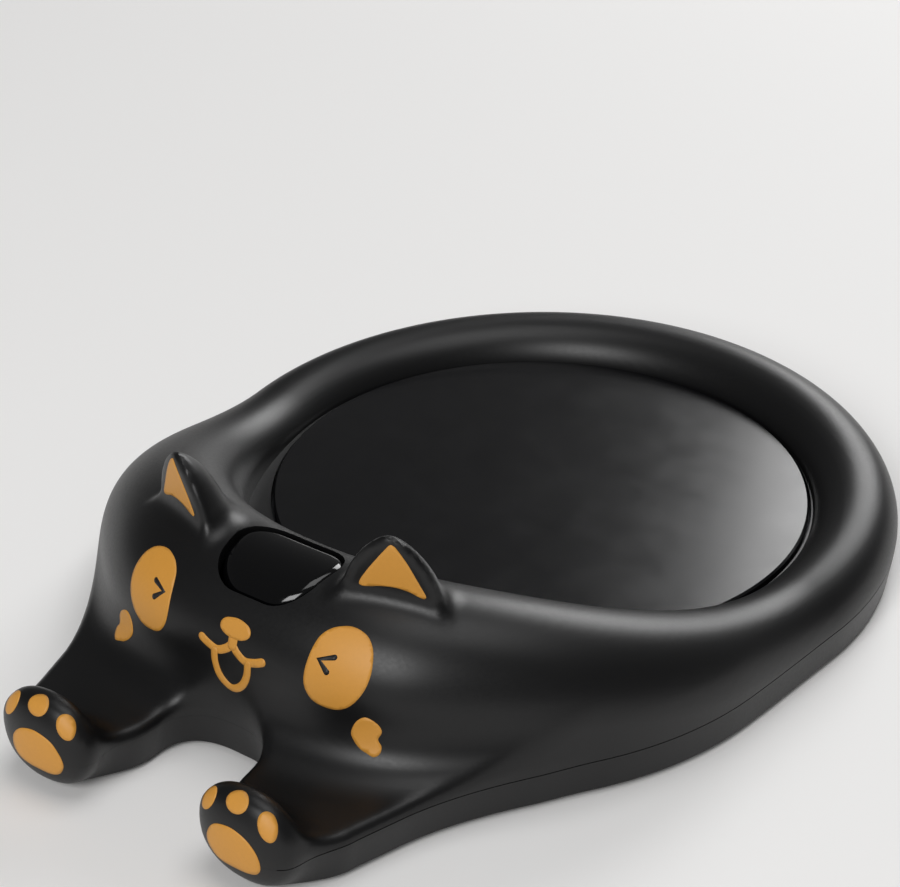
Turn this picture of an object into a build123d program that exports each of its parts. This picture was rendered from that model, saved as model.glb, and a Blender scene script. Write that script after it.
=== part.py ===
"""Electric mug warmer shaped as a lying cat: moulded shells, a floating heating plate and a power key.

Frame: +Z up, the cat faces -Y, the table is z = 0 and the origin is the centre of the footprint.
All lengths are millimetres.
"""
from build123d import *
from math import cos, exp, radians, sin, sqrt, tan
import os

# ---- heating plate and the well round it: these sizes drive the ring ----
PLATE_RADIUS = 42.5
PLATE_THICKNESS = 1.5
PLATE_EDGE = 0.3
PLATE_CLEARANCE = 0.4
WELL_RADIUS = PLATE_RADIUS + PLATE_CLEARANCE

# ---- outer form: a ring round the plate whose section grows into the head ----
RING_WIDTH = 14.0             # section of the ring beside and behind the plate
RING_RADIUS = WELL_RADIUS + RING_WIDTH
RING_HEIGHT = 12.6            # crest beside the plate
TAIL_RISE = 1.6               # the crest is this much higher at the back
CREST_SHARE = 0.65            # the rounded crest takes at most this share of a section's height
HEAD_SETBACK = 7.3            # the head's rear slope starts this far in front of the well
HEAD_DEPTH = 25.0             # from that slope to the tip of the face
HEAD_INNER_RADIUS = WELL_RADIUS + HEAD_SETBACK
HEAD_PLAN_SHIFT = 20.4        # the face's plan circle lies this far in front of the plate's axis
HEAD_PLAN_RADIUS = HEAD_INNER_RADIUS + HEAD_DEPTH - HEAD_PLAN_SHIFT
PLAN_BLEND = 4.0              # smoothing where the two plan circles meet
MUZZLE_FLAT = 0.6             # the middle of the face lies this far behind its plan circle
MUZZLE_SPREAD = 7.0           # degrees
CHEEK_SWELL = 1.3             # the cheeks stand this far in front of that circle
CHEEK_ANGLE, CHEEK_SPREAD = 18.0, 9.0           # degrees from the front
HEAD_HEIGHT = 28.6            # crest of the head, between the ears
HEAD_ANGLE = 10.4             # half angle of the full-height part of the head
RING_ANGLE = 85.1             # the head has run out into the ring here
SIDE_DRAFT = 1.2              # the skirt leans in by this much at its foot
SECTION_ANGLES = (0, 12, 24, 36, 48, 60, 72, 84, 97, 115, 137, 158, 180)

# ---- legs, paws and ears ----
LEG_ROOT_X, LEG_ROOT_R = 23.6, 13.4
LEG_ROOT_Y = HEAD_INNER_RADIUS + 5.5
LEG_TIP_X, LEG_TIP_R = 18.8, 10.4
LEG_RUN = 26.2                # how far the leg reaches forward from its root
LEG_TIP_Y = LEG_ROOT_Y + LEG_RUN
LEG_TOP = 7.9
LEG_EDGE = 1.2
LEG_TAPER = 10.0              # degrees by which the leg's sides lean in towards the foot
PAW_X, PAW_Z = 17.9, 8.0
PAW_LEAD = 10.3               # the paw's middle stands this far in front of the leg's tip
PAW_Y = LEG_TIP_Y + PAW_LEAD
PAW_HALF_X, PAW_HALF_Y, PAW_HALF_Z = 8.0, 3.8, 6.6
EAR_X = 17.7
EAR_Y = HEAD_INNER_RADIUS + 10.4
EAR_YAW = 20.6
EAR_LEAN = 4.8                # the ear leans forward, turned about its middle at EAR_PIVOT
EAR_PIVOT = HEAD_HEIGHT + 1.4
EAR_RISE = 8.8                # from there up to the tip
EAR_SINK = 5.0                # and down to the centres of the foot's corners
EAR_HALF_WIDTH = 7.5
EAR_TIP_R = 5.2
EAR_FOOT_R = 2.6
EAR_THICKNESS = 5.6
EAR_EDGE = 2.2

# ---- shells ----
WALL = 2.0
UNDERSIDE = 1.0               # height of the base's underside, on its feet
FLOOR_THICKNESS = 1.4
FLOOR_TOP = UNDERSIDE + FLOOR_THICKNESS
SEAM = 6.2                    # height of the parting line
PAN_RIM = 4.0                 # from the ring's outside to the round part of the base's inside
PAN_RADIUS = RING_RADIUS - PAN_RIM
DECK_THICKNESS = 1.8          # shelf between the well and the head, its underside on the parting line
DECK_RADIUS = HEAD_INNER_RADIUS - 3.6
DECK_SHIFT = 4.6
FOOT_RADIUS = 4.0
FOOT_SINK = 0.6
FOOT_PITCH = RING_RADIUS - 9.9
FOOT_ANGLES = (62, 118, 198, 342)
FLOOR_SEAT = 0.3              # gap left under a wire that lies on the floor

# ---- parts of the stack under the heating plate ----
CARRIER_GAP = 0.3             # between the carrier and the shelf over it
CARRIER_LIP = 1.5             # the carrier reaches this far under the well's wall
CARRIER_RADIUS = WELL_RADIUS + CARRIER_LIP
CARRIER_THICKNESS = 1.3
PLATE_OVERHANG = 0.4          # the plate reaches this far past its seal
SEAL_WIDTH = 1.6
SEAL_GAP = 0.1
PAD_RADIUS = PLATE_RADIUS - PLATE_OVERHANG - SEAL_WIDTH - SEAL_GAP
PAD_THICKNESS = 1.0
FOIL_MARGIN = 2.4
FOIL_RADIUS = PAD_RADIUS - FOIL_MARGIN
FOIL_THICKNESS = 0.4
STACK_TRAVEL = 0.6
SENSOR_RADIUS = 1.6
CUTOFF_SIZE = (8.0, 4.0)
CUTOFF_Y = 14.0
WINDOW_CLEARANCE = 0.4
SHIELD_RADIUS = PLATE_RADIUS - 1.5
SHIELD_THICKNESS = 0.3
SHIELD_TOP = FLOOR_TOP + SHIELD_THICKNESS
CARRIER_TOP = SEAM - CARRIER_GAP
CARRIER_UNDER = CARRIER_TOP - CARRIER_THICKNESS
PAD_TOP = CARRIER_TOP + PAD_THICKNESS
PLATE_UNDER = PAD_TOP + FOIL_THICKNESS
PLATE_TOP = PLATE_UNDER + PLATE_THICKNESS

# ---- springs, guide pins and load switch under the carrier ----
SPRING_COUNT = 3
SPRING_PITCH = PLATE_RADIUS - 12.5
SPRING_FOOT_RADIUS = 4.2
SPRING_TOP_RADIUS = 2.4
SPRING_WIRE = 0.4
SPRING_TURNS = 2.5
SPRING_STEPS = 8              # runs in each turn
SPRING_BEND = 1.5
PIN_PITCH = PLATE_RADIUS - 6.5
PIN_RADIUS = 1.2
PIN_CLEARANCE = 0.3
PIN_RUN_IN = 0.7              # how far a guide pin reaches into the carrier
LOAD_SWITCH_Y = HEAD_INNER_RADIUS + 5.0
LOAD_SWITCH_SIDE = 5.0
LOAD_SWITCH_HEIGHT = 1.2
LOAD_SWITCH_FLOOR = 0.3
LOAD_SWITCH_TOP = FLOOR_TOP + LOAD_SWITCH_HEIGHT
LOAD_PLUNGER_RADIUS = 1.1
PLUNGER_CLEARANCE = 0.05
PLUNGER_END_GAP = 0.1
TONGUE_HALF = 5.0             # the carrier's tongue, over the load switch
TONGUE_MARGIN = 0.7
TONGUE_REACH = LOAD_SWITCH_Y + LOAD_SWITCH_SIDE / 2 + TONGUE_MARGIN

# ---- control board in the head ----
BOARD_UNDERSIDE = HEAD_HEIGHT - 14.2
BOARD_THICKNESS = 1.6
BOARD_TOP = BOARD_UNDERSIDE + BOARD_THICKNESS
BOARD_DEPTH = 14.4
BOARD_REAR = HEAD_INNER_RADIUS + 4.4
BOARD_FRONT = BOARD_REAR + BOARD_DEPTH
BOARD_HALF = 18.0
BOARD_CORNER = 1.5
POST_INSET_X, POST_INSET_Y = 3.2, 2.8           # from the board's edges to its screws
POST_X = BOARD_HALF - POST_INSET_X
POST_REAR, POST_FRONT = BOARD_REAR + POST_INSET_Y, BOARD_FRONT - POST_INSET_Y
POST_RADIUS = 2.3
BOARD_SCREW_RADIUS = 1.0
BOARD_SCREW_LENGTH = 6.0
BOARD_SCREW_HEAD_RADIUS = 1.9
BOARD_SCREW_HEAD_HEIGHT = 1.2
SCREW_CLEARANCE = 0.1
DRIVE_WIDTH, DRIVE_DEPTH = 0.5, 0.6
TACT_SIDE = 6.0
TACT_HEIGHT = 3.5
TACT_TOP = BOARD_TOP + TACT_HEIGHT
TACT_PLUNGER_RADIUS = 1.75
TACT_PLUNGER_HEIGHT = 1.1
TACT_PLUNGER_SINK = 1.0
LED_SIZE = (1.6, 0.8, 0.7)
LED_PITCH = 4.0
LED_COUNT = 3
LED_Y = BOARD_REAR + 5.0
CHIP_X, CHIP_Y = -12.0, BOARD_REAR + 7.2
CHIP_SIZE = (5.0, 4.0, 1.6)
TRANSISTOR_X, TRANSISTOR_Y = 9.5, BOARD_REAR + 7.0
TRANSISTOR_SIZE = (5.6, 5.2, 2.3)
CAPACITOR_X, CAPACITOR_Y = -8.0, BOARD_REAR + 11.8
CAPACITOR_RADIUS, CAPACITOR_HEIGHT = 2.4, 5.4
CAPACITOR_EDGE = 0.4
SOCKET_X, SOCKET_Y = 9.6, BOARD_REAR + 5.8
SOCKET_SIZE = (6.0, 4.4, 4.2)
SOCKET_UNDER = BOARD_UNDERSIDE - SOCKET_SIZE[2]

# ---- power key, over the board's tact switch ----
KEY_LENGTH = 13.2
KEY_REAR = HEAD_INNER_RADIUS + 7.0
KEY_FRONT = KEY_REAR + KEY_LENGTH
KEY_Y = (KEY_REAR + KEY_FRONT) / 2
KEY_REAR_HALF, KEY_FRONT_HALF = 9.3, 7.2
KEY_CORNER = 5.2
KEY_CLEARANCE = 0.3
KEY_INSET = 0.3               # the key lies this far under the head's skin
KEY_TRAVEL = 0.5
KEY_FLANGE = 1.2
KEY_FLANGE_GAP = 0.3
KEY_FLANGE_THICKNESS = 1.2
KEY_STEM_RADIUS = 2.2
KEY_STEM_FOOT = TACT_TOP + TACT_PLUNGER_HEIGHT

# ---- case screws ----
CASE_SCREW_ANGLES = (42, 138, 214, 326)
CASE_SCREW_PITCH = RING_RADIUS - 6.4
CASE_SCREW_RADIUS = 1.2
CASE_SCREW_LENGTH = 6.6
CASE_SCREW_HEAD_RADIUS = 2.0
CASE_SCREW_HEAD_HEIGHT = 1.3
CASE_SCREW_SINK = 0.6         # the head's face lies this far above the underside
CASE_SCREW_SEAT = UNDERSIDE + CASE_SCREW_SINK + CASE_SCREW_HEAD_HEIGHT
CASE_SCREW_TOP = CASE_SCREW_SEAT + CASE_SCREW_LENGTH
BOSS_RADIUS = 2.8

# ---- inlet in the tail end, and the leads ----
INLET_SIZE = (7.0, 8.2, 5.0)
INLET_SETBACK = 3.0           # from the ring's outside to the inlet's face
INLET_REACH = RING_RADIUS - INLET_SETBACK
INLET_SEAT = 0.5              # height of the pad the inlet stands on
INLET_Z = FLOOR_TOP + INLET_SEAT + INLET_SIZE[2] / 2
INLET_BORE = 1.75
INLET_BORE_DEPTH = 6.6
INLET_PIN_RADIUS = 0.65
INLET_PIN_LENGTH = 5.6
INLET_MOUTH = 2.8
TAB_SIZE = (2.0, 1.2, 0.3)
TAB_DEPTHS = (2.9, 5.9)       # from the inlet's face to the middle of each tab
LEAD_RADIUS = 0.7
LEAD_PITCH = 1.8
LEAD_CLEARANCE = 0.6
LEAD_ARC = CASE_SCREW_PITCH - BOSS_RADIUS - LEAD_CLEARANCE - LEAD_RADIUS
LEAD_ARC_START, LEAD_ARC_END = 150, 34          # angles from the front, round the +X side
LEAD_ARC_RUNS = 8
LEAD_ARC_BEND = 40.0
LEAD_START_RUN = 3.0
LEAD_START_BEND = 4.0
LEAD_RISER_RUN = 10.4
LEAD_RISER_BEND = 2.5
LEAD_RISER_PITCH = 2.4
HEATER_LEAD_RADIUS = 0.5
HEATER_LEAD_PITCH = 1.9
HEATER_LEAD_COUNT = 4
HEATER_LEAD_SWAY = 1.1
HEATER_LEAD_END = 2.4         # straight run at each end
HEATER_LEAD_BEND = 3.0
HEATER_LEAD_Y = TONGUE_REACH - 1.8

# ---- places in the part's frame ----
FRONT_REACH = PAW_Y + PAW_HALF_Y
PLATE_Y = (FRONT_REACH - RING_RADIUS) / 2       # plate axis
BELOW = 6.0                                     # cutting bodies start this far under the table
HEADROOM = 10.0                                 # and end this far over the ears
ABOVE = EAR_PIVOT + EAR_RISE + HEADROOM



def smooth_max(a: float, b: float, width: float) -> float:
    """Larger of two values, rounded over where they are nearly equal."""
    share = min(max(0.5 + 0.5 * (a - b) / width, 0.0), 1.0)
    return b + (a - b) * share + width * share * (1 - share)


def ease(start: float, end: float, value: float) -> float:
    """Smooth step from 0 at start to 1 at end."""
    t = min(max((value - start) / (end - start), 0.0), 1.0)
    return t * t * (3 - 2 * t)


def outer_radius(angle: float) -> float:
    """Plan radius of the body at an angle from the front, in degrees."""
    across = HEAD_PLAN_SHIFT * sin(radians(angle))
    along = HEAD_PLAN_SHIFT * cos(radians(angle))
    head = along + sqrt(HEAD_PLAN_RADIUS ** 2 - across ** 2)
    muzzle = MUZZLE_FLAT * exp(-(angle / MUZZLE_SPREAD) ** 2)
    cheek = CHEEK_SWELL * exp(-((angle - CHEEK_ANGLE) / CHEEK_SPREAD) ** 2)
    return smooth_max(head + cheek - muzzle, RING_RADIUS, PLAN_BLEND)


def head_share(angle: float) -> float:
    """1 in the middle of the head, 0 in the plain ring."""
    return 1 - ease(HEAD_ANGLE, RING_ANGLE, angle)


def inner_radius(angle: float) -> float:
    """Radius of the well's wall at an angle from the front."""
    return WELL_RADIUS + (HEAD_INNER_RADIUS - WELL_RADIUS) * head_share(angle)


def crest_height(angle: float) -> float:
    """Height of the body's crest at an angle from the front."""
    ring = RING_HEIGHT + TAIL_RISE * ease(60, 180, angle)
    return ring + (HEAD_HEIGHT - ring) * head_share(angle)


def at(x: float, y: float, z: float = 0.0) -> Vector:
    """Point given from the plate axis, with y counted towards the cat's face."""
    return Vector(x, PLATE_Y - y, z)


def ring_body(inset: float = 0.0, foot: float = -BELOW) -> Part:
    """Solid ring and head, its skin moved inwards by inset, from foot up."""
    with BuildPart() as half:
        for angle in SECTION_ANGLES:
            inner = inner_radius(angle) + inset
            outer = outer_radius(angle) - inset
            top = crest_height(angle) - inset
            middle = (outer + inner) / 2
            bend = min((outer - inner) / 2, CREST_SHARE * (top - UNDERSIDE))
            turn = Plane(origin=at(0, 0), x_dir=(sin(radians(angle)), -cos(radians(angle)), 0),
                         z_dir=(-cos(radians(angle)), -sin(radians(angle)), 0))
            lean = SIDE_DRAFT * (top - bend - foot) / (top - bend - UNDERSIDE)
            with BuildSketch(turn):
                with BuildLine():
                    Line((inner, foot), (outer - lean, foot))
                    Line((outer - lean, foot), (outer, top - bend))
                    ThreePointArc((outer, top - bend), (middle, top), (inner, top - bend))
                    Line((inner, top - bend), (inner, foot))
                make_face()
        loft()
    with BuildPart() as whole:
        add(half.part)
        mirror(about=Plane.YZ)
    return whole.part


def ellipsoid(centre: Vector, half_x: float, half_y: float, half_z: float) -> Part:
    """Ellipsoid, built as a scaled sphere."""
    with BuildPart() as ball:
        Sphere(1.0)
        scale(by=(half_x, half_y, half_z))
    return ball.part.moved(Location(centre))


def leg_prism(inset: float) -> Part:
    """One front leg of the +X side, without its paw, its sides leaning in towards the foot."""
    top = LEG_TOP - inset
    with BuildPart() as leg:
        for height in (top, -BELOW):
            lean = (top - height) * tan(radians(LEG_TAPER))
            with BuildSketch(Plane.XY.offset(height)):
                for x, y, r in ((LEG_ROOT_X, LEG_ROOT_Y, LEG_ROOT_R), (LEG_TIP_X, LEG_TIP_Y, LEG_TIP_R)):
                    with Locations(at(x, y)):
                        Circle(r - inset - lean)
                make_hull()
        loft(ruled=True)
    return leg.part


def limbs(inset: float = 0.0) -> Part:
    """Both front legs with their paws."""
    paw = ellipsoid(at(PAW_X, PAW_Y, PAW_Z), PAW_HALF_X - inset, PAW_HALF_Y - inset, PAW_HALF_Z - inset)
    leg = leg_prism(inset)
    with BuildPart() as pair:
        add(leg)
        if inset < LEG_EDGE:
            fillet(pair.faces().sort_by(Axis.Z)[-1].edges(), LEG_EDGE - inset)
        add(paw)
        mirror(about=Plane.YZ)
    return pair.part


def ears() -> Part:
    """Both ears, each an upright rounded triangle."""
    yaw, lean = radians(EAR_YAW), radians(EAR_LEAN)
    face = Plane(origin=at(EAR_X, EAR_Y, EAR_PIVOT), x_dir=(cos(yaw), sin(yaw), 0),
                 z_dir=(sin(yaw) * cos(lean), -cos(yaw) * cos(lean), -sin(lean)))
    with BuildPart() as pair:
        with BuildSketch(face):
            with Locations((0, EAR_RISE - EAR_TIP_R)):
                Circle(EAR_TIP_R)
            for side in (-1, 1):
                with Locations((side * (EAR_HALF_WIDTH - EAR_FOOT_R), -EAR_SINK)):
                    Circle(EAR_FOOT_R)
            make_hull()
        extrude(amount=EAR_THICKNESS / 2, both=True)
        fillet(pair.edges(), EAR_EDGE)
        mirror(about=Plane.YZ)
    return pair.part


def key_prism(grow: float, foot: float, top: float) -> Part:
    """Upright prism of the key's plan, its sides moved outwards by grow."""
    rear, front = KEY_REAR - grow, KEY_FRONT + grow
    corners = [(KEY_REAR_HALF + grow, rear), (KEY_FRONT_HALF + grow, front)]
    with BuildPart() as prism:
        with BuildSketch(Plane.XY.offset(foot)) as plan:
            with BuildLine():
                Polyline([at(x, y) for x, y in corners] + [at(-x, y) for x, y in reversed(corners)],
                         close=True)
            make_face()
            fillet(plan.vertices(), KEY_CORNER + grow)
        extrude(amount=top - foot)
    return prism.part


def slab(low: float, high: float) -> Part:
    """Block that holds every part of the body between two heights."""
    size = 4 * FRONT_REACH
    with BuildPart() as block:
        with BuildSketch(Plane.XY.offset(low)):
            Rectangle(size, size)
        extrude(amount=high - low)
    return block.part


def disc(radius: float, low: float, high: float, x: float = 0.0, y: float = 0.0) -> Part:
    """Upright cylinder, placed from the plate axis."""
    with BuildPart() as cylinder:
        with BuildSketch(Plane.XY.offset(low)):
            with Locations(at(x, y)):
                Circle(radius)
        extrude(amount=high - low)
    return cylinder.part


def polar(radius: float, angle: float) -> tuple[float, float]:
    """Place at a radius and an angle counted from +X, with y towards the face."""
    return radius * cos(radians(angle)), -radius * sin(radians(angle))


def box(x: float, y: float, low: float, size: tuple[float, ...]) -> Part:
    """Upright block with its middle at x, y from the plate axis and its foot at low."""
    with BuildPart() as block:
        with BuildSketch(Plane.XY.offset(low)):
            with Locations(at(x, y)):
                Rectangle(size[0], size[1])
        extrude(amount=size[2])
    return block.part


def lowered(part: Part, drop: float) -> Part:
    """Copy of a part, moved down."""
    return part.moved(Location((0, 0, -drop)))


def screw(x: float, y: float, seat: float, direction: int, shank: tuple[float, float],
          head: tuple[float, float]) -> Part:
    """Pan-head screw with a slot; shank and head are (radius, length), direction is the shank's way."""
    shank_radius, shank_length = shank
    head_radius, head_height = head
    with BuildPart() as blank:
        with BuildSketch(Plane.XY.offset(seat)):
            with Locations(at(x, y)):
                Circle(shank_radius)
        extrude(amount=direction * shank_length)
        with BuildSketch(Plane.XY.offset(seat)):
            with Locations(at(x, y)):
                Circle(head_radius)
        extrude(amount=-direction * head_height)
        with BuildSketch(Plane.XY.offset(seat - direction * head_height)):
            with Locations(at(x, y)):
                Rectangle(2 * head_radius, DRIVE_WIDTH)
        extrude(amount=direction * DRIVE_DEPTH, mode=Mode.SUBTRACT)
    return blank.part


def round_wire(points: list[Vector], bends: float | list[float], radius: float) -> Part:
    """Round wire of straight runs joined by arcs, with one bend radius or a list of them."""
    with BuildLine() as path:
        FilletPolyline(points, radius=bends)
    with BuildPart() as wire:
        with BuildSketch(Plane(origin=points[0], z_dir=points[1] - points[0])):
            Circle(radius)
        sweep(path=path.line)
    return wire.part


def coil(x: float, y: float) -> Part:
    """Conical spring that stands on the shield and carries the carrier."""
    foot = SHIELD_TOP + SPRING_WIRE / 2
    rise = CARRIER_UNDER - SHIELD_TOP - SPRING_WIRE
    steps = round(SPRING_TURNS * SPRING_STEPS)
    points = []
    for step in range(steps + 1):
        share = step / steps
        radius = SPRING_FOOT_RADIUS + (SPRING_TOP_RADIUS - SPRING_FOOT_RADIUS) * share
        turn = radians(360 * step / SPRING_STEPS)
        points.append(at(x + radius * cos(turn), y + radius * sin(turn), foot + rise * share))
    return round_wire(points, SPRING_BEND, SPRING_WIRE / 2)


def write(part: Part, name: str) -> None:
    """Label a finished piece and write its STEP file."""
    part.label = name
    export_step(part, f"parts/{name}.step")
    print(name, len(part.solids()), round(part.volume, 1))


os.makedirs("parts", exist_ok=True)

# ---------------------------------------------------------------- places
case_screw_places = [polar(CASE_SCREW_PITCH, angle) for angle in CASE_SCREW_ANGLES]
board_screw_places = [(side * POST_X, y) for side in (-1, 1) for y in (POST_REAR, POST_FRONT)]
foot_places = [polar(FOOT_PITCH, angle) for angle in FOOT_ANGLES]
foot_places += [(side * LEG_TIP_X, LEG_TIP_Y) for side in (-1, 1)]
spring_places = [polar(SPRING_PITCH, 90 + turn * 360 / SPRING_COUNT) for turn in range(SPRING_COUNT)]
pin_places = [polar(PIN_PITCH, 30 + turn * 360 / SPRING_COUNT) for turn in range(SPRING_COUNT)]

# ---------------------------------------------------------------- shells
body_form = ring_body() + limbs() + ears()
body_cavity = ring_body(inset=WALL)
limb_cavity = limbs(inset=WALL)
bosses = [disc(BOSS_RADIUS, -BELOW, ABOVE, x, y) for x, y in case_screw_places]
key_hole = key_prism(KEY_CLEARANCE, TACT_TOP, ABOVE)
deck = disc(DECK_RADIUS, SEAM, SEAM + DECK_THICKNESS, 0, DECK_SHIFT)
deck -= disc(WELL_RADIUS, -BELOW, ABOVE)
inlet_axis = Plane(origin=at(0, -INLET_REACH + WALL, INLET_Z), z_dir=(0, 1, 0))

with BuildPart() as shell_cavity:
    add(body_cavity)
    for boss in bosses:
        add(boss, mode=Mode.SUBTRACT)
    add(limb_cavity)

with BuildPart() as top_cover:
    add(body_form)
    add(slab(SEAM, ABOVE), mode=Mode.INTERSECT)
    add(shell_cavity.part, mode=Mode.SUBTRACT)
    add(deck)
    for x, y in case_screw_places:
        pilot = CASE_SCREW_TOP + SCREW_CLEARANCE
        add(disc(CASE_SCREW_RADIUS, -BELOW, pilot, x, y), mode=Mode.SUBTRACT)
    add(key_hole, mode=Mode.SUBTRACT)
    with BuildSketch(inlet_axis):
        Circle(INLET_MOUTH)
    extrude(amount=INLET_SIZE[1], mode=Mode.SUBTRACT)
write(top_cover.part, "top_cover")

with BuildPart() as pan:
    add(shell_cavity.part)
    add(disc(PAN_RADIUS, FLOOR_TOP, SEAM + WALL))
    for boss in bosses:
        add(boss, mode=Mode.SUBTRACT)
    add(slab(FLOOR_TOP, ABOVE), mode=Mode.INTERSECT)

with BuildPart() as base_cover:
    add(body_form)
    add(disc(PAN_RADIUS, UNDERSIDE, SEAM))
    add(slab(UNDERSIDE, SEAM), mode=Mode.INTERSECT)
    add(pan.part, mode=Mode.SUBTRACT)
    for x, y in board_screw_places:
        add(disc(POST_RADIUS, FLOOR_TOP, BOARD_UNDERSIDE, x, y))
        depth = BOARD_TOP - BOARD_SCREW_LENGTH - SCREW_CLEARANCE
        add(disc(BOARD_SCREW_RADIUS, depth, BOARD_UNDERSIDE, x, y), mode=Mode.SUBTRACT)
    for x, y in case_screw_places:
        add(disc(CASE_SCREW_RADIUS + SCREW_CLEARANCE, 0, SEAM, x, y), mode=Mode.SUBTRACT)
        add(disc(CASE_SCREW_HEAD_RADIUS + SCREW_CLEARANCE, 0, CASE_SCREW_SEAT, x, y), mode=Mode.SUBTRACT)
    for x, y in pin_places:
        add(disc(PIN_RADIUS, FLOOR_TOP, CARRIER_UNDER + PIN_RUN_IN, x, y))
    for x, y in foot_places:
        add(disc(FOOT_RADIUS, 0, UNDERSIDE + FOOT_SINK, x, y), mode=Mode.SUBTRACT)
    seat_height = INLET_Z - INLET_SIZE[2] / 2 - FLOOR_TOP
    seat_middle = -INLET_REACH + INLET_SIZE[1] / 2
    add(box(0, seat_middle, FLOOR_TOP, (INLET_SIZE[0], INLET_SIZE[1], seat_height)))
    with BuildSketch(inlet_axis):
        Circle(INLET_MOUTH)
    extrude(amount=INLET_SIZE[1], mode=Mode.SUBTRACT)
write(base_cover.part, "base_cover")

with BuildPart() as rubber_feet:
    for x, y in foot_places:
        add(disc(FOOT_RADIUS, 0, UNDERSIDE + FOOT_SINK, x, y))
write(rubber_feet.part, "rubber_feet")

with BuildPart() as case_screws:
    for x, y in case_screw_places:
        add(screw(x, y, CASE_SCREW_SEAT, 1, (CASE_SCREW_RADIUS, CASE_SCREW_LENGTH),
                  (CASE_SCREW_HEAD_RADIUS, CASE_SCREW_HEAD_HEIGHT)))
write(case_screws.part, "case_screws")

# ---------------------------------------------------------------- heating plate stack
with BuildPart() as heating_plate:
    add(disc(PLATE_RADIUS, PLATE_UNDER, PLATE_TOP))
    chamfer(heating_plate.faces().sort_by(Axis.Z)[-1].edges(), PLATE_EDGE)
write(heating_plate.part, "heating_plate")

with BuildPart() as heater_foil:
    add(disc(FOIL_RADIUS, PAD_TOP, PLATE_UNDER))
write(heater_foil.part, "heater_foil")

with BuildPart() as insulation_pad:
    add(disc(PAD_RADIUS, CARRIER_TOP, PAD_TOP))
    add(disc(SENSOR_RADIUS + WINDOW_CLEARANCE, CARRIER_TOP, PAD_TOP), mode=Mode.SUBTRACT)
    window = (CUTOFF_SIZE[0] + 2 * WINDOW_CLEARANCE, CUTOFF_SIZE[1] + 2 * WINDOW_CLEARANCE, PAD_THICKNESS)
    add(box(0, CUTOFF_Y, CARRIER_TOP, window), mode=Mode.SUBTRACT)
write(insulation_pad.part, "insulation_pad")

with BuildPart() as plate_gasket:
    add(disc(PAD_RADIUS + SEAL_GAP + SEAL_WIDTH, CARRIER_TOP, PLATE_UNDER))
    add(disc(PAD_RADIUS + SEAL_GAP, CARRIER_TOP, PLATE_UNDER), mode=Mode.SUBTRACT)
write(plate_gasket.part, "plate_gasket")

with BuildPart() as plate_carrier:
    add(disc(CARRIER_RADIUS, CARRIER_UNDER, CARRIER_TOP))
    add(box(0, TONGUE_REACH / 2, CARRIER_UNDER, (2 * TONGUE_HALF, TONGUE_REACH, CARRIER_THICKNESS)))
    for x, y in pin_places:
        add(disc(PIN_RADIUS + PIN_CLEARANCE, CARRIER_UNDER, CARRIER_TOP, x, y), mode=Mode.SUBTRACT)
write(plate_carrier.part, "plate_carrier")

with BuildPart() as temperature_sensor:
    add(disc(SENSOR_RADIUS, CARRIER_TOP, PAD_TOP))
write(temperature_sensor.part, "temperature_sensor")

with BuildPart() as thermal_cutoff:
    add(box(0, CUTOFF_Y, CARRIER_TOP, (CUTOFF_SIZE[0], CUTOFF_SIZE[1], PAD_THICKNESS)))
write(thermal_cutoff.part, "thermal_cutoff")

with BuildPart() as heat_shield:
    add(disc(SHIELD_RADIUS, FLOOR_TOP, SHIELD_TOP))
    for x, y in pin_places:
        add(disc(PIN_RADIUS + PIN_CLEARANCE, FLOOR_TOP, SHIELD_TOP, x, y), mode=Mode.SUBTRACT)
write(heat_shield.part, "heat_shield")

with BuildPart() as carrier_springs:
    for x, y in spring_places:
        add(coil(x, y))
write(carrier_springs.part, "carrier_springs")

with BuildPart() as load_switch_body:
    add(box(0, LOAD_SWITCH_Y, FLOOR_TOP, (LOAD_SWITCH_SIDE, LOAD_SWITCH_SIDE, LOAD_SWITCH_HEIGHT)))
    add(disc(LOAD_PLUNGER_RADIUS + PLUNGER_CLEARANCE, FLOOR_TOP + LOAD_SWITCH_FLOOR, LOAD_SWITCH_TOP,
             0, LOAD_SWITCH_Y), mode=Mode.SUBTRACT)
write(load_switch_body.part, "load_switch_body")

with BuildPart() as load_switch_plunger:
    plunger_foot = FLOOR_TOP + LOAD_SWITCH_FLOOR + STACK_TRAVEL + PLUNGER_END_GAP
    add(disc(LOAD_PLUNGER_RADIUS, plunger_foot, CARRIER_UNDER, 0, LOAD_SWITCH_Y))
write(load_switch_plunger.part, "load_switch_plunger")

# ---------------------------------------------------------------- power key and its switch
flange_roof = lowered(body_cavity, KEY_FLANGE_GAP)
with BuildPart() as power_key:
    add(lowered(body_form, KEY_INSET))
    add(key_prism(0, TACT_TOP, ABOVE), mode=Mode.INTERSECT)
    add(flange_roof & key_prism(KEY_CLEARANCE + KEY_FLANGE, TACT_TOP, ABOVE))
    add(lowered(flange_roof, KEY_FLANGE_THICKNESS), mode=Mode.SUBTRACT)
    add(flange_roof & disc(KEY_STEM_RADIUS, KEY_STEM_FOOT, ABOVE, 0, KEY_Y))
write(power_key.part, "power_key")

with BuildPart() as tact_switch_body:
    add(box(0, KEY_Y, BOARD_TOP, (TACT_SIDE, TACT_SIDE, TACT_HEIGHT)))
    bore_foot = TACT_TOP - TACT_PLUNGER_SINK - KEY_TRAVEL - PLUNGER_END_GAP
    add(disc(TACT_PLUNGER_RADIUS + PLUNGER_CLEARANCE, bore_foot, TACT_TOP, 0, KEY_Y), mode=Mode.SUBTRACT)
write(tact_switch_body.part, "tact_switch_body")

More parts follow.
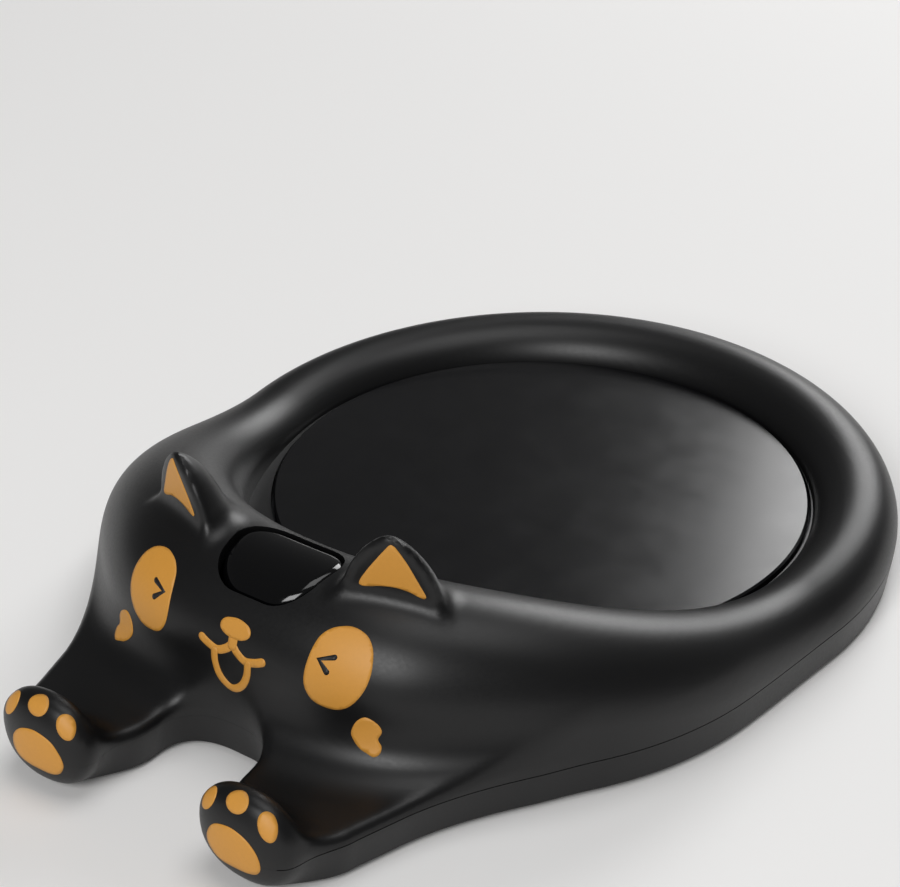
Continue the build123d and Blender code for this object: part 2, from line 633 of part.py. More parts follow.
with BuildPart() as tact_switch_plunger:
    add(disc(TACT_PLUNGER_RADIUS, TACT_TOP - TACT_PLUNGER_SINK, KEY_STEM_FOOT, 0, KEY_Y))
write(tact_switch_plunger.part, "tact_switch_plunger")

# ---------------------------------------------------------------- control board
with BuildPart() as control_board:
    with BuildSketch(Plane.XY.offset(BOARD_UNDERSIDE)):
        with Locations(at(0, (BOARD_REAR + BOARD_FRONT) / 2)):
            RectangleRounded(2 * BOARD_HALF, BOARD_FRONT - BOARD_REAR, BOARD_CORNER)
    extrude(amount=BOARD_THICKNESS)
    for x, y in board_screw_places:
        clear = BOARD_SCREW_RADIUS + SCREW_CLEARANCE
        add(disc(clear, BOARD_UNDERSIDE, BOARD_TOP, x, y), mode=Mode.SUBTRACT)
write(control_board.part, "control_board")

with BuildPart() as board_screws:
    for x, y in board_screw_places:
        add(screw(x, y, BOARD_TOP, -1, (BOARD_SCREW_RADIUS, BOARD_SCREW_LENGTH),
                  (BOARD_SCREW_HEAD_RADIUS, BOARD_SCREW_HEAD_HEIGHT)))
write(board_screws.part, "board_screws")

with BuildPart() as indicator_leds:
    for place in range(LED_COUNT):
        x = (place - (LED_COUNT - 1) / 2) * LED_PITCH
        add(box(x, LED_Y, BOARD_TOP, LED_SIZE))
write(indicator_leds.part, "indicator_leds")

with BuildPart() as microcontroller:
    add(box(CHIP_X, CHIP_Y, BOARD_TOP, CHIP_SIZE))
write(microcontroller.part, "microcontroller")

with BuildPart() as power_transistor:
    add(box(TRANSISTOR_X, TRANSISTOR_Y, BOARD_TOP, TRANSISTOR_SIZE))
write(power_transistor.part, "power_transistor")

with BuildPart() as capacitor:
    add(disc(CAPACITOR_RADIUS, BOARD_TOP, BOARD_TOP + CAPACITOR_HEIGHT, CAPACITOR_X, CAPACITOR_Y))
    fillet(capacitor.faces().sort_by(Axis.Z)[-1].edges(), CAPACITOR_EDGE)
write(capacitor.part, "capacitor")

with BuildPart() as lead_socket:
    add(box(SOCKET_X, SOCKET_Y, SOCKET_UNDER, SOCKET_SIZE))
write(lead_socket.part, "lead_socket")

# ---------------------------------------------------------------- inlet and leads
with BuildPart() as dc_inlet_body:
    add(box(0, -INLET_REACH + INLET_SIZE[1] / 2, INLET_Z - INLET_SIZE[2] / 2, INLET_SIZE))
    with BuildSketch(Plane(origin=at(0, -INLET_REACH, INLET_Z), z_dir=(0, -1, 0))):
        Circle(INLET_BORE)
    extrude(amount=INLET_BORE_DEPTH, mode=Mode.SUBTRACT)
write(dc_inlet_body.part, "dc_inlet_body")

with BuildPart() as dc_inlet_pin:
    pin_root = -INLET_REACH + INLET_BORE_DEPTH
    with BuildSketch(Plane(origin=at(0, pin_root, INLET_Z), z_dir=(0, 1, 0))):
        Circle(INLET_PIN_RADIUS)
    extrude(amount=INLET_PIN_LENGTH)
    fillet(dc_inlet_pin.faces().sort_by(Axis.Y)[-1].edges(), INLET_PIN_RADIUS / 2)
write(dc_inlet_pin.part, "dc_inlet_pin")

lead_heights = [FLOOR_TOP + FLOOR_SEAT + LEAD_RADIUS + level * LEAD_PITCH for level in (0, 1)]
with BuildPart() as inlet_tabs:
    for depth, height in zip(TAB_DEPTHS, reversed(lead_heights)):
        x = (INLET_SIZE[0] + TAB_SIZE[0]) / 2
        add(box(x, -INLET_REACH + depth, height - TAB_SIZE[2] / 2, TAB_SIZE))
write(inlet_tabs.part, "inlet_tabs")

with BuildPart() as inlet_leads:
    for depth, height, side in zip(TAB_DEPTHS, reversed(lead_heights), (1, -1)):
        start_x = INLET_SIZE[0] / 2 + TAB_SIZE[0]
        riser_x = SOCKET_X + side * LEAD_RISER_PITCH / 2
        points = [at(start_x, -INLET_REACH + depth, height)]
        points.append(at(start_x + LEAD_START_RUN, -INLET_REACH + depth, height))
        for run in range(LEAD_ARC_RUNS + 1):
            angle = LEAD_ARC_START + (LEAD_ARC_END - LEAD_ARC_START) * run / LEAD_ARC_RUNS
            points.append(at(LEAD_ARC * sin(radians(angle)), LEAD_ARC * cos(radians(angle)), height))
        points.append(at(riser_x, SOCKET_Y - LEAD_RISER_RUN, height))
        points.append(at(riser_x, SOCKET_Y, height))
        points.append(at(riser_x, SOCKET_Y, SOCKET_UNDER))
        bends = [LEAD_START_BEND] + [LEAD_ARC_BEND] * (LEAD_ARC_RUNS + 1) + [LEAD_START_BEND, LEAD_RISER_BEND]
        add(round_wire(points, bends, LEAD_RADIUS))
write(inlet_leads.part, "inlet_leads")

with BuildPart() as heater_leads:
    for place in range(HEATER_LEAD_COUNT):
        x = (place - (HEATER_LEAD_COUNT - 1) / 2) * HEATER_LEAD_PITCH
        points = [at(x, HEATER_LEAD_Y, CARRIER_TOP), at(x, HEATER_LEAD_Y, CARRIER_TOP + HEATER_LEAD_END)]
        points.append(at(x, HEATER_LEAD_Y + HEATER_LEAD_SWAY, BOARD_UNDERSIDE - HEATER_LEAD_END))
        points.append(at(x, HEATER_LEAD_Y + HEATER_LEAD_SWAY, BOARD_UNDERSIDE))
        add(round_wire(points, HEATER_LEAD_BEND, HEATER_LEAD_RADIUS))
write(heater_leads.part, "heater_leads")
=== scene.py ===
"""Looks of the cat-shaped electric mug warmer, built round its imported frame.

Forms are worked out in millimetres from the plate's axis on the table: +X the cat's left, the cat
faces -Y, +Z up. They are moved to the frame's own origin, in metres, when a mesh is made. Sizes in
the classes are in millimetres and their angles in degrees, unless a docstring says otherwise.
"""

import logging
import math
from dataclasses import dataclass, field
from enum import Enum
from typing import Callable, Iterable, Protocol

import bpy
import numpy as np
from mathutils import Matrix, Vector
from mathutils.geometry import delaunay_2d_cdt


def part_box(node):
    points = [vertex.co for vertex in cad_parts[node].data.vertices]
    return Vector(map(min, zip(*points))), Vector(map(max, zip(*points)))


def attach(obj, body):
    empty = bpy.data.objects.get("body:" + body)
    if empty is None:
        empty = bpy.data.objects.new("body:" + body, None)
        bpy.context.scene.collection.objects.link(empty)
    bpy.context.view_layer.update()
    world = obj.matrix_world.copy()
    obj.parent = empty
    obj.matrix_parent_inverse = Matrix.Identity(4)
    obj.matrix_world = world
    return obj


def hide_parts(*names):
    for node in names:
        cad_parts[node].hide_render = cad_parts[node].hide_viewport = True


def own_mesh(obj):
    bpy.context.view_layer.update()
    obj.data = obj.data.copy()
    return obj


log = logging.getLogger("mug_warmer")
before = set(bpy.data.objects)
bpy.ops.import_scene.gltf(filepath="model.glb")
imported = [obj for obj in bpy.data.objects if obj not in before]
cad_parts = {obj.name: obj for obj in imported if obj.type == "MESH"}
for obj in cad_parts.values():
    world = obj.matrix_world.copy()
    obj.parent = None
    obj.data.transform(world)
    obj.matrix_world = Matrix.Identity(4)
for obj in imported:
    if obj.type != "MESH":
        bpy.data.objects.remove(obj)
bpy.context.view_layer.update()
MM = 0.001
TINY = 1e-9

Array = np.ndarray
Field = Callable[[Array], Array]
Piece = bpy.types.Object
Spot = tuple[float, float]
Place = tuple[float, float, float]
Outline = list[Spot]
Marks = tuple[Spot, ...]


# ---------------------------------------------------------------- small maths

def smooth_min(a: Array, b: Array, width: float) -> Array:
    """Smaller of two distances, blended with a fillet where they meet.

    Args:
        a: First distance.
        b: Second distance.
        width: Width of the blend in millimetres.

    Returns:
        The blended distance.
    """
    share = np.clip(0.5 + 0.5 * (b - a) / width, 0, 1)
    return b + (a - b) * share - width * share * (1 - share)


def smooth_max(a: Array, b: Array, width: float) -> Array:
    """Larger of two distances, rounded where they meet."""
    return -smooth_min(-a, -b, width)


def ease(start: float, end: float, value: Array) -> Array:
    """Smooth step from 0 at start to 1 at end."""
    t = np.clip((value - start) / (end - start), 0, 1)
    return t * t * (3 - 2 * t)


def mix(a: float, b: float, share: Array) -> Array:
    """Straight mix of two values."""
    return a + (b - a) * share


def slope_of(distance: Field, points: Array, step: float) -> Array:
    """Slope of a distance field at points, by central differences.

    Args:
        distance: The field.
        points: Points, the last axis being x, y, z.
        step: Half the distance between the two values compared.

    Returns:
        The slope along x, y and z at each point.
    """
    changes = [distance(points + axis) - distance(points - axis) for axis in np.eye(3) * step]
    return np.stack(changes, -1) / (2 * step)


def circle(radius: float, centre: Spot = (0.0, 0.0), sides: int = 192) -> Outline:
    """Points of a circle, counter-clockwise from its +X side."""
    return around(radius, (360 * side / sides for side in range(sides)), centre)


def around(radius: float, angles: Iterable[float], centre: Spot = (0.0, 0.0)) -> Outline:
    """Points on a circle at angles in degrees."""
    turns = [math.radians(angle) for angle in angles]
    return [(centre[0] + radius * math.cos(t), centre[1] + radius * math.sin(t)) for t in turns]


def hex_linear(code: str) -> tuple[float, float, float, float]:
    """Linear colour of an sRGB hex value.

    Args:
        code: Six hex digits, with or without a leading hash.

    Returns:
        Red, green, blue and an alpha of 1, in linear light.
    """
    digits = code.lstrip("#")
    parts = [int(digits[i:i + 2], 16) / 255 for i in (0, 2, 4)]
    linear = [p / 12.92 if p <= 0.04045 else ((p + 0.055) / 1.055) ** 2.4 for p in parts]
    return (linear[0], linear[1], linear[2], 1.0)


# ---------------------------------------------------------------- forms of the body

@dataclass
class RingForm:
    """Ring round the plate, whose section grows into the head."""

    ring_radius: float = 57.0
    face_radius: float = 55.0
    face_shift: float = 20.4
    plan_blend: float = 4.0
    well_radius: float = 42.9
    head_inner: float = 50.2
    ring_height: float = 12.3
    tail_rise: float = 1.9
    flank_angle: float = 60.0
    head_height: float = 28.6
    head_angle: float = 10.4
    ring_angle: float = 85.1
    side_tuck: float = 1.3
    face_tuck: float = 1.1
    tuck_height: float = 13.0
    tuck_power: float = 1.23
    tuck_reach: float = 1.4
    ring_round: float = 20.0
    head_round: float = 13.6
    least_flat: float = 0.05
    underside: float = 1.0
    muzzle_flat: float = 0.6
    muzzle_spread: float = 7.0
    cheek_swell: float = 1.3
    cheek_angle: float = 18.0
    cheek_spread: float = 9.0

    def outer(self, angle: Array) -> Array:
        """Plan radius at an angle from the face, in radians."""
        across = self.face_shift * np.sin(angle)
        reach = np.sqrt(np.clip(self.face_radius ** 2 - across ** 2, 0, None))
        face = self.face_shift * np.cos(angle) + reach
        degrees = np.degrees(angle)
        face -= self.muzzle_flat * np.exp(-(degrees / self.muzzle_spread) ** 2)
        face += self.cheek_swell * np.exp(-((degrees - self.cheek_angle) / self.cheek_spread) ** 2)
        return smooth_max(face, np.full_like(face, self.ring_radius), self.plan_blend)

    def distance(self, point: Array) -> Array:
        """Distance from the ring's skin.

        Args:
            point: Points in millimetres, the last axis being x, y, z.

        Returns:
            Distances, negative inside.
        """
        x, y, z = np.abs(point[..., 0]), point[..., 1], point[..., 2]
        radius = np.hypot(x, y)
        angle = np.arctan2(x, -y)
        degrees = np.degrees(angle)
        head = 1 - ease(self.head_angle, self.ring_angle, degrees)
        outer = self.outer(angle)
        inner = mix(self.well_radius, self.head_inner, head)
        ring = self.ring_height + self.tail_rise * ease(self.flank_angle, 180, degrees)
        height = mix(ring, self.head_height, head)
        half, middle = (outer - inner) / 2, (outer + inner) / 2
        bend = np.minimum(half - self.least_flat, mix(self.ring_round, self.head_round, head))
        low = (self.tuck_height - z) / (self.tuck_height - self.underside)
        low = np.clip(low, TINY, self.tuck_reach)
        tuck = mix(self.side_tuck, self.face_tuck, head) * low ** self.tuck_power
        side = np.where(radius > middle, radius - middle + tuck, middle - radius) - (half - bend)
        top = z - (height - bend)
        corner = np.hypot(np.maximum(side, 0), np.maximum(top, 0))
        return corner + np.minimum(np.maximum(side, top), 0) - bend


@dataclass
class LegForm:
    """Front leg: a tapered slab with a rounded top edge, its sides leaning in towards the foot."""

    root: Spot = (23.6, -55.7)
    tip: Spot = (18.75, -81.9)
    root_radius: float = 13.45
    tip_radius: float = 10.4
    top: float = 7.87
    tuck: float = 1.25
    tuck_reach: float = 1.2
    underside: float = 1.0
    edge: float = 2.2

    def distance(self, point: Array) -> Array:
        """Distance from the legs' skin, negative inside."""
        x, y, z = np.abs(point[..., 0]), point[..., 1], point[..., 2]
        run_x, run_y = self.tip[0] - self.root[0], self.tip[1] - self.root[1]
        along = ((x - self.root[0]) * run_x + (y - self.root[1]) * run_y) / (run_x ** 2 + run_y ** 2)
        along = np.clip(along, 0, 1)
        away = np.hypot(x - self.root[0] - along * run_x, y - self.root[1] - along * run_y)
        low = np.clip((self.top - z) / (self.top - self.underside), 0, self.tuck_reach)
        side = away - mix(self.root_radius, self.tip_radius, along) + self.tuck * low
        return smooth_max(side, z - self.top, self.edge)


@dataclass
class PawForm:
    """Front paw: a thick disc with a rounded rim, upright across the end of the leg."""

    centre: Place = (17.7, -92.49, 7.99)
    half: Place = (7.66, 3.24, 6.73)
    power: float = 2.3

    def distance(self, point: Array) -> Array:
        """Distance from the paws' skin, negative inside."""
        x, y, z = np.abs(point[..., 0]), point[..., 1], point[..., 2]
        half = np.array(self.half)
        unit = np.abs(np.stack([x, y, z], -1) - np.array(self.centre)) / half
        total = (unit ** self.power).sum(-1) + TINY
        reach = total ** (1 / self.power)
        slope = unit ** (self.power - 1) * (total ** (1 / self.power - 1))[..., None] / half
        return (reach - 1) / np.maximum(np.linalg.norm(slope, axis=-1), TINY)


@dataclass
class EarForm:
    """Ear: a plate with a domed outline, flat in front, that leans forward."""

    place: Place = (18.68, -63.18, 30.0)
    yaw: float = 20.55
    lean: float = 4.83
    shift: float = -0.25
    foot: float = 28.0
    half_width: float = 7.27
    rise: float = 11.3
    power: float = 1.58
    thickness: float = 6.5
    taper: float = 0.197
    back_edge: float = 7.7
    front_edge: float = 1.4
    depth: float = 7.0

    def local(self, point: Array) -> tuple[Array, Array]:
        """Coordinates across the ear and into it from its front, in millimetres."""
        x = np.abs(point[..., 0]) - self.place[0]
        y = point[..., 1] - self.place[1]
        turn = math.radians(self.yaw)
        across = x * math.cos(turn) + y * math.sin(turn)
        into = -x * math.sin(turn) + y * math.cos(turn)
        return across, into + (point[..., 2] - self.place[2]) * math.tan(math.radians(self.lean))

    def distance(self, point: Array) -> Array:
        """Distance from the ears' skin, negative inside."""
        across, into = self.local(point)
        height = point[..., 2] - self.foot
        wide = np.abs(across - self.shift) / self.half_width
        tall = np.maximum(height, 0) / self.rise
        outline = (wide ** self.power + tall ** self.power + TINY) ** (1 / self.power) - 1
        back = into - self.thickness + self.taper * (point[..., 2] - self.place[2])
        back = back / math.hypot(1, self.taper)
        plate = smooth_max(outline * self.half_width, back, self.back_edge)
        plate = smooth_max(plate, -into, self.front_edge)
        return np.maximum(plate, -height - self.depth)


@dataclass
class CatForm:
    """Whole outer skin of the cat, its pieces joined by soft fillets."""

    ring: RingForm = field(default_factory=RingForm)
    leg: LegForm = field(default_factory=LegForm)
    paw: PawForm = field(default_factory=PawForm)
    ear: EarForm = field(default_factory=EarForm)
    leg_blend: float = 8.8
    paw_blend: float = 5.0
    ear_blend: float = 2.5

    def distance(self, point: Array) -> Array:
        """Distance from the skin, negative inside."""
        skin = smooth_min(self.ring.distance(point), self.leg.distance(point), self.leg_blend)
        skin = smooth_min(skin, self.paw.distance(point), self.paw_blend)
        return smooth_min(skin, self.ear.distance(point), self.ear_blend)

    def normal(self, point: Array, step: float = 0.2) -> Array:
        """Outward normals of the skin near points."""
        slope = slope_of(self.distance, point, step)
        return slope / np.maximum(np.linalg.norm(slope, axis=-1, keepdims=True), TINY)

    def land(self, start: Array, way: Array, offset: float = 0.0, steps: int = 60,
             pace: float = 0.85) -> Array:
        """Points where rays meet the skin.

        Args:
            start: Starting points outside the skin.
            way: Unit directions towards the skin.
            offset: Height above the skin at which a ray stops.
            steps: Number of steps of each ray.
            pace: Share of the distance to the skin that each step goes.

        Returns:
            The points met.
        """
        gone = np.zeros(start.shape[:-1])
        for _ in range(steps):
            gone = gone + pace * (self.distance(start + way * gone[..., None]) - offset)
        return start + way * gone[..., None]


# ---------------------------------------------------------------- meshes

def plate_axis_y() -> float:
    """Place of the plate's axis along Y, in metres, from the frame's heating plate."""
    low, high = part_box("heating_plate")
    return (low[1] + high[1]) / 2


def make_piece(name: str, points: Array, faces: list, smooth: bool = True) -> Piece:
    """Mesh object from points given in millimetres from the plate's axis.

    Args:
        name: The piece's name.
        points: Vertices, one per row.
        faces: Vertex numbers of each face.
        smooth: Whether faces are shaded smooth.

    Returns:
        The new object, linked to the scene.
    """
    mesh = bpy.data.meshes.new(name)
    placed = np.asarray(points, dtype=float) * MM
    placed[:, 1] += plate_axis_y()
    mesh.from_pydata(placed.tolist(), [], faces)
    mesh.update()
    mesh.polygons.foreach_set("use_smooth", [smooth] * len(mesh.polygons))
    piece = bpy.data.objects.new(name, mesh)
    bpy.context.scene.collection.objects.link(piece)
    return piece


def copy_piece(piece: Piece, name: str) -> Piece:
    """Second piece with a mesh of its own."""
    twin = piece.copy()
    twin.data = piece.data.copy()
    twin.name = name
    bpy.context.scene.collection.objects.link(twin)
    return twin


def neighbours(axis: int) -> tuple[tuple[slice, ...], tuple[slice, ...]]:
    """Indices of all grid points but the last along an axis, and of the ones after them."""
    near, far = [slice(None)] * 3, [slice(None)] * 3
    near[axis], far[axis] = slice(0, -1), slice(1, None)
    return tuple(near), tuple(far)


def net_points(values: Array) -> tuple[Array, Array]:
    """One point in each grid cell that the surface crosses, at the mean of its crossings.

    Args:
        values: The field at the grid's points.

    Returns:
        Points in cells, and the number of each cell's point or -1.
    """
    inside = values < 0
    cells = [n - 1 for n in values.shape]
    total = np.zeros(cells + [3])
    count = np.zeros(cells)
    for axis in range(3):
        one, two = (a for a in range(3) if a != axis)
        near, far = neighbours(axis)
        a, b = values[near], values[far]
        crossing = inside[near] != inside[far]
        share = np.where(crossing, a / np.where(crossing, a - b, 1), 0)
        for u in (0, 1):
            for v in (0, 1):
                edge = [slice(None)] * 3
                edge[one] = slice(u, cells[one] + u)
                edge[two] = slice(v, cells[two] + v)
                hit = crossing[tuple(edge)]
                total[..., axis] += np.where(hit, share[tuple(edge)], 0)
                total[..., one] += hit * u
                total[..., two] += hit * v
                count += hit
    used = count > 0
    number = np.full(cells, -1)
    number[used] = np.arange(used.sum())
    return np.argwhere(used) + total[used] / count[used][:, None], number


def net_faces(inside: Array, number: Array) -> list:
    """One four-sided face for each grid edge that the surface crosses.

    Args:
        inside: Whether each grid point is inside.
        number: The number of each cell's point.

    Returns:
        Faces as lists of point numbers, facing outwards.
    """
    faces = []
    for axis in range(3):
        one, two = (axis + 1) % 3, (axis + 2) % 3
        near, far = neighbours(axis)
        for leaving in (True, False):
            place = np.argwhere((inside[near] == leaving) & (inside[far] != leaving))
            keep = (place[:, one] > 0) & (place[:, two] > 0)
            keep &= (place[:, one] < number.shape[one]) & (place[:, two] < number.shape[two])
            ring = []
            for u, v in ((-1, -1), (0, -1), (0, 0), (-1, 0)):
                corner = place[keep]
                corner[:, one] += u
                corner[:, two] += v
                ring.append(number[tuple(corner.T)])
            faces.extend(np.stack(ring if leaving else ring[::-1], -1).tolist())
    return faces


def settle(points: Array, distance: Field, rounds: int = 4, step: float = 0.05, pace: float = 0.9,
           least_slope: float = 0.5) -> Array:
    """Vertices moved onto the zero of a distance field along its slope.

    Args:
        points: The vertices.
        distance: The field.
        rounds: Number of moves.
        step: Half the distance over which the slope is taken.
        pace: Share of the way to the zero that each move goes.
        least_slope: Slope below which a move grows no longer.

    Returns:
        The moved vertices.
    """
    for _ in range(rounds):
        slope = slope_of(distance, points, step)
        square = np.maximum((slope ** 2).sum(-1), least_slope ** 2)
        points = points - pace * slope * (distance(points) / square)[:, None]
    return points


def field_piece(name: str, distance: Field, low: Place, high: Place, step: float) -> Piece:
    """Closed piece whose surface is the zero of a distance field, by surface nets.

    Args:
        name: The piece's name.
        distance: The field, negative inside.
        low: Lowest corner of the region searched.
        high: Highest corner of the region searched.
        step: Size of a cell.

    Returns:
        The new object.
    """
    axes = [a + step * np.arange(math.ceil((b - a) / step) + 1) for a, b in zip(low, high)]
    layers = [distance(np.stack(np.meshgrid([x], axes[1], axes[2], indexing="ij"), -1))[0] for x in axes[0]]
    values = np.stack(layers)
    spots, number = net_points(values)
    points = np.asarray(low) + step * spots
    return make_piece(name, settle(points, distance), net_faces(values < 0, number))


def prism(name: str, outline: Outline, low: float, high: float, smooth: bool = False) -> Piece:
    """Upright prism over a closed outline, in millimetres."""
    count = len(outline)
    points = [(x, y, low) for x, y in outline] + [(x, y, high) for x, y in outline]
    faces = [tuple(range(count - 1, -1, -1)), tuple(range(count, 2 * count))]
    for i in range(count):
        j = (i + 1) % count
        faces.append((i, j, count + j, count + i))
    return make_piece(name, np.array(points), faces, smooth)


def block(name: str, low: Place, high: Place) -> Piece:
    """Box between two corners, in millimetres."""
    corners = [(low[0], low[1]), (high[0], low[1]), (high[0], high[1]), (low[0], high[1])]
    return prism(name, corners, low[2], high[2])


class Cut(Enum):
    """Ways to combine one solid with another."""

    TAKE = "DIFFERENCE"
    KEEP = "INTERSECT"
    JOIN = "UNION"


def combine(piece: Piece, tool: Piece, way: Cut, drop: bool = True) -> None:
    """Combine a piece with a tool solid and keep the result in the piece.

    Args:
        piece: The solid that is changed.
        tool: The solid that changes it.
        way: Difference, intersection or union.
        drop: Whether the tool is deleted afterwards.
    """
    modifier = piece.modifiers.new("combine", "BOOLEAN")
    modifier.operation = way.value
    modifier.object = tool
    modifier.solver = "MANIFOLD"
    graph = bpy.context.evaluated_depsgraph_get()
    result = bpy.data.meshes.new_from_object(piece.evaluated_get(graph))
    piece.modifiers.clear()
    old = piece.data
    piece.data = result
    result.name = piece.name
    bpy.data.meshes.remove(old)
    if drop:
        bpy.data.objects.remove(tool)


def soften(piece: Piece, angle: float = 35.0) -> None:
    """Shade a piece smooth, with hard edges where faces meet at more than an angle."""
    mesh = piece.data
    mesh.polygons.foreach_set("use_smooth", [True] * len(mesh.polygons))
    mesh.set_sharp_from_angle(angle=math.radians(angle))
    mesh.update()


# ---------------------------------------------------------------- finishes

def add_node(tree: bpy.types.NodeTree, kind: str, **inputs: object) -> bpy.types.Node:
    """Add a shader node and link it.

    Args:
        tree: The material's node tree.
        kind: The node's type.
        inputs: Values or output sockets for its inputs, by name with _ for a space.

    Returns:
        The new node.
    """
    node = tree.nodes.new(kind)
    for key, value in inputs.items():
        socket = node.inputs[key.replace("_", " ")]
        if isinstance(value, bpy.types.NodeSocket):
            tree.links.new(value, socket)
        else:
            socket.default_value = value
    return node


# Values between which nearly all of a noise texture lies.
NOISE_LOW, NOISE_HIGH = 0.3, 0.7


@dataclass(frozen=True)
class Finish:
    """Look of one real material and the way its surface was made."""

    name: str
    colour: str
    roughness: float
    metallic: float = 0.0
    ior: float = 1.5
    grain_mm: float = 0.4
    grain_depth_mm: float = 0.0
    mottle: float = 0.0
    roughness_spread: float = 0.0

    def build(self) -> bpy.types.Material:
        """Material with the finish's colour, gloss and fine grain."""
        known = bpy.data.materials.get(self.name)
        if known:
            return known
        material = bpy.data.materials.new(self.name)
        material.use_nodes = True
        tree = material.node_tree
        shader = tree.nodes["Principled BSDF"]
        shader.inputs["Base Color"].default_value = hex_linear(self.colour)
        shader.inputs["Roughness"].default_value = self.roughness
        shader.inputs["Metallic"].default_value = self.metallic
        shader.inputs["IOR"].default_value = self.ior
        place = add_node(tree, "ShaderNodeTexCoord")
        grain = add_node(tree, "ShaderNodeTexNoise", Vector=place.outputs["Object"],
                         Scale=1 / (self.grain_mm * MM), Detail=3.0, Roughness=0.6)
        if self.grain_depth_mm > 0:
            bump = add_node(tree, "ShaderNodeBump", Height=grain.outputs["Fac"],
                            Distance=self.grain_depth_mm * MM, Strength=1.0)
            tree.links.new(bump.outputs["Normal"], shader.inputs["Normal"])
        if self.mottle > 0:
            base = Vector(hex_linear(self.colour)[:3])
            ramp = add_node(tree, "ShaderNodeValToRGB", Fac=grain.outputs["Fac"])
            stops = ((NOISE_LOW, 1 - self.mottle), (NOISE_HIGH, 1 + self.mottle))
            for element, (position, share) in zip(ramp.color_ramp.elements, stops):
                element.position = position
                element.color = (*(base * share), 1)
            tree.links.new(ramp.outputs["Color"], shader.inputs["Base Color"])
        if self.roughness_spread > 0:
            spread = add_node(tree, "ShaderNodeMapRange", Value=grain.outputs["Fac"],
                              From_Min=NOISE_LOW, From_Max=NOISE_HIGH,
                              To_Min=self.roughness - self.roughness_spread,
                              To_Max=self.roughness + self.roughness_spread)
            tree.links.new(spread.outputs["Result"], shader.inputs["Roughness"])
        return material


# ABS moulding with a soft-touch paint: a black that turns to a broad dull sheen towards the light.
# The paint's grain is drawn some times coarser than the real one, so that it shows.
SOFT_TOUCH = Finish("soft_touch_painted_abs", "#0A0A0B", 0.4, ior=1.45, grain_mm=0.45,
                    grain_depth_mm=0.0035, roughness_spread=0.03)
# Pad-printed ink: flat, even, a little duller than the paint round it.
ORANGE_INK = Finish("pad_printed_orange_ink", "#CE9139", 0.5, grain_mm=0.5, mottle=0.02)
BLACK_INK = Finish("pad_printed_black_ink", "#0C0807", 0.5, grain_mm=0.5, mottle=0.05)
# Tinted acrylic, polished in its mould: nearly black, with clean reflections.
TINTED_ACRYLIC = Finish("tinted_acrylic_lens", "#040405", 0.1, ior=1.49, grain_mm=3.0,
                        roughness_spread=0.02)
# Enamelled steel plate: a hard black gloss with a slight waviness.
PLATE_ENAMEL = Finish("black_vitreous_enamel", "#08080A", 0.2, ior=1.52, grain_mm=6.0,
                      roughness_spread=0.02)
# Moulded seal and feet: dull dark grey, the rubber of the feet with a fine dry grain.
SILICONE = Finish("moulded_silicone", "#2A2A2B", 0.6, grain_mm=0.5, mottle=0.1)
RUBBER = Finish("moulded_nitrile_rubber", "#1E1E1E", 0.75, grain_mm=0.3, grain_depth_mm=0.01,
                mottle=0.15)
# Polyimide film: a clear amber gloss over the heater's track.
POLYIMIDE = Finish("polyimide_heater_film", "#B9772A", 0.28, grain_mm=2.0, mottle=0.1)
# Pressed fibre: off-white, quite dull, with a matted surface.
FELT = Finish("pressed_ceramic_felt", "#D8D2C4", 0.95, grain_mm=0.25, grain_depth_mm=0.06,
              mottle=0.12)
# Nylon with glass fibre: dark grey, dull and faintly speckled where fibres reach the surface.
NYLON = Finish("glass_filled_nylon", "#3A3B3E", 0.55, grain_mm=0.3, grain_depth_mm=0.008,
               mottle=0.12)
# Bare metals in a soft gloss: creased foil, drawn wire, zinc plating and a drawn can.
ALUMINIUM_FOIL = Finish("rolled_aluminium_foil", "#CFD0D3", 0.25, metallic=1.0, grain_mm=1.5,
                        grain_depth_mm=0.02, roughness_spread=0.08)
SPRING_WIRE = Finish("drawn_spring_wire", "#A8A9AD", 0.3, metallic=1.0, grain_mm=0.2,
                     roughness_spread=0.08)
ZINC_SCREW = Finish("zinc_plated_screw_steel", "#B7B9BC", 0.32, metallic=1.0, grain_mm=0.3,
                    roughness_spread=0.08)
DRAWN_CAN = Finish("drawn_aluminium_can", "#B4B6BC", 0.35, metallic=1.0, grain_mm=0.3,
                   roughness_spread=0.06)
# Contacts: warm white tin over brass, and bare turned brass.
TINNED_BRASS = Finish("tinned_brass_tab", "#C2C0BA", 0.3, metallic=1.0, grain_mm=0.4,
                      roughness_spread=0.1)
BRASS = Finish("turned_brass_pin", "#C9A55C", 0.25, metallic=1.0, grain_mm=0.2,
               roughness_spread=0.08)
# Solder mask over glass weave: glossy green whose depth varies with the weave.
SOLDER_MASK = Finish("green_solder_mask", "#1E5A34", 0.3, grain_mm=1.2, mottle=0.12)
# Moulded packages and switches: dull black, the epoxy with a fine etched grain.
EPOXY = Finish("moulded_epoxy_package", "#1B1B1D", 0.6, grain_mm=0.15, grain_depth_mm=0.004,
               mottle=0.15)
SWITCH_NYLON = Finish("moulded_switch_nylon", "#262629", 0.45, grain_mm=0.3, mottle=0.1)
# Pale mouldings: milky acetal and nylon, and a clear resin read as pale yellow.
ACETAL = Finish("white_acetal_plunger", "#DAD9D2", 0.35, grain_mm=0.4, mottle=0.04)
WHITE_NYLON = Finish("white_nylon_socket", "#E3DFD2", 0.5, grain_mm=0.5, mottle=0.04)
LED_RESIN = Finish("cast_led_resin", "#E6DFC0", 0.2, grain_mm=0.5, mottle=0.05)
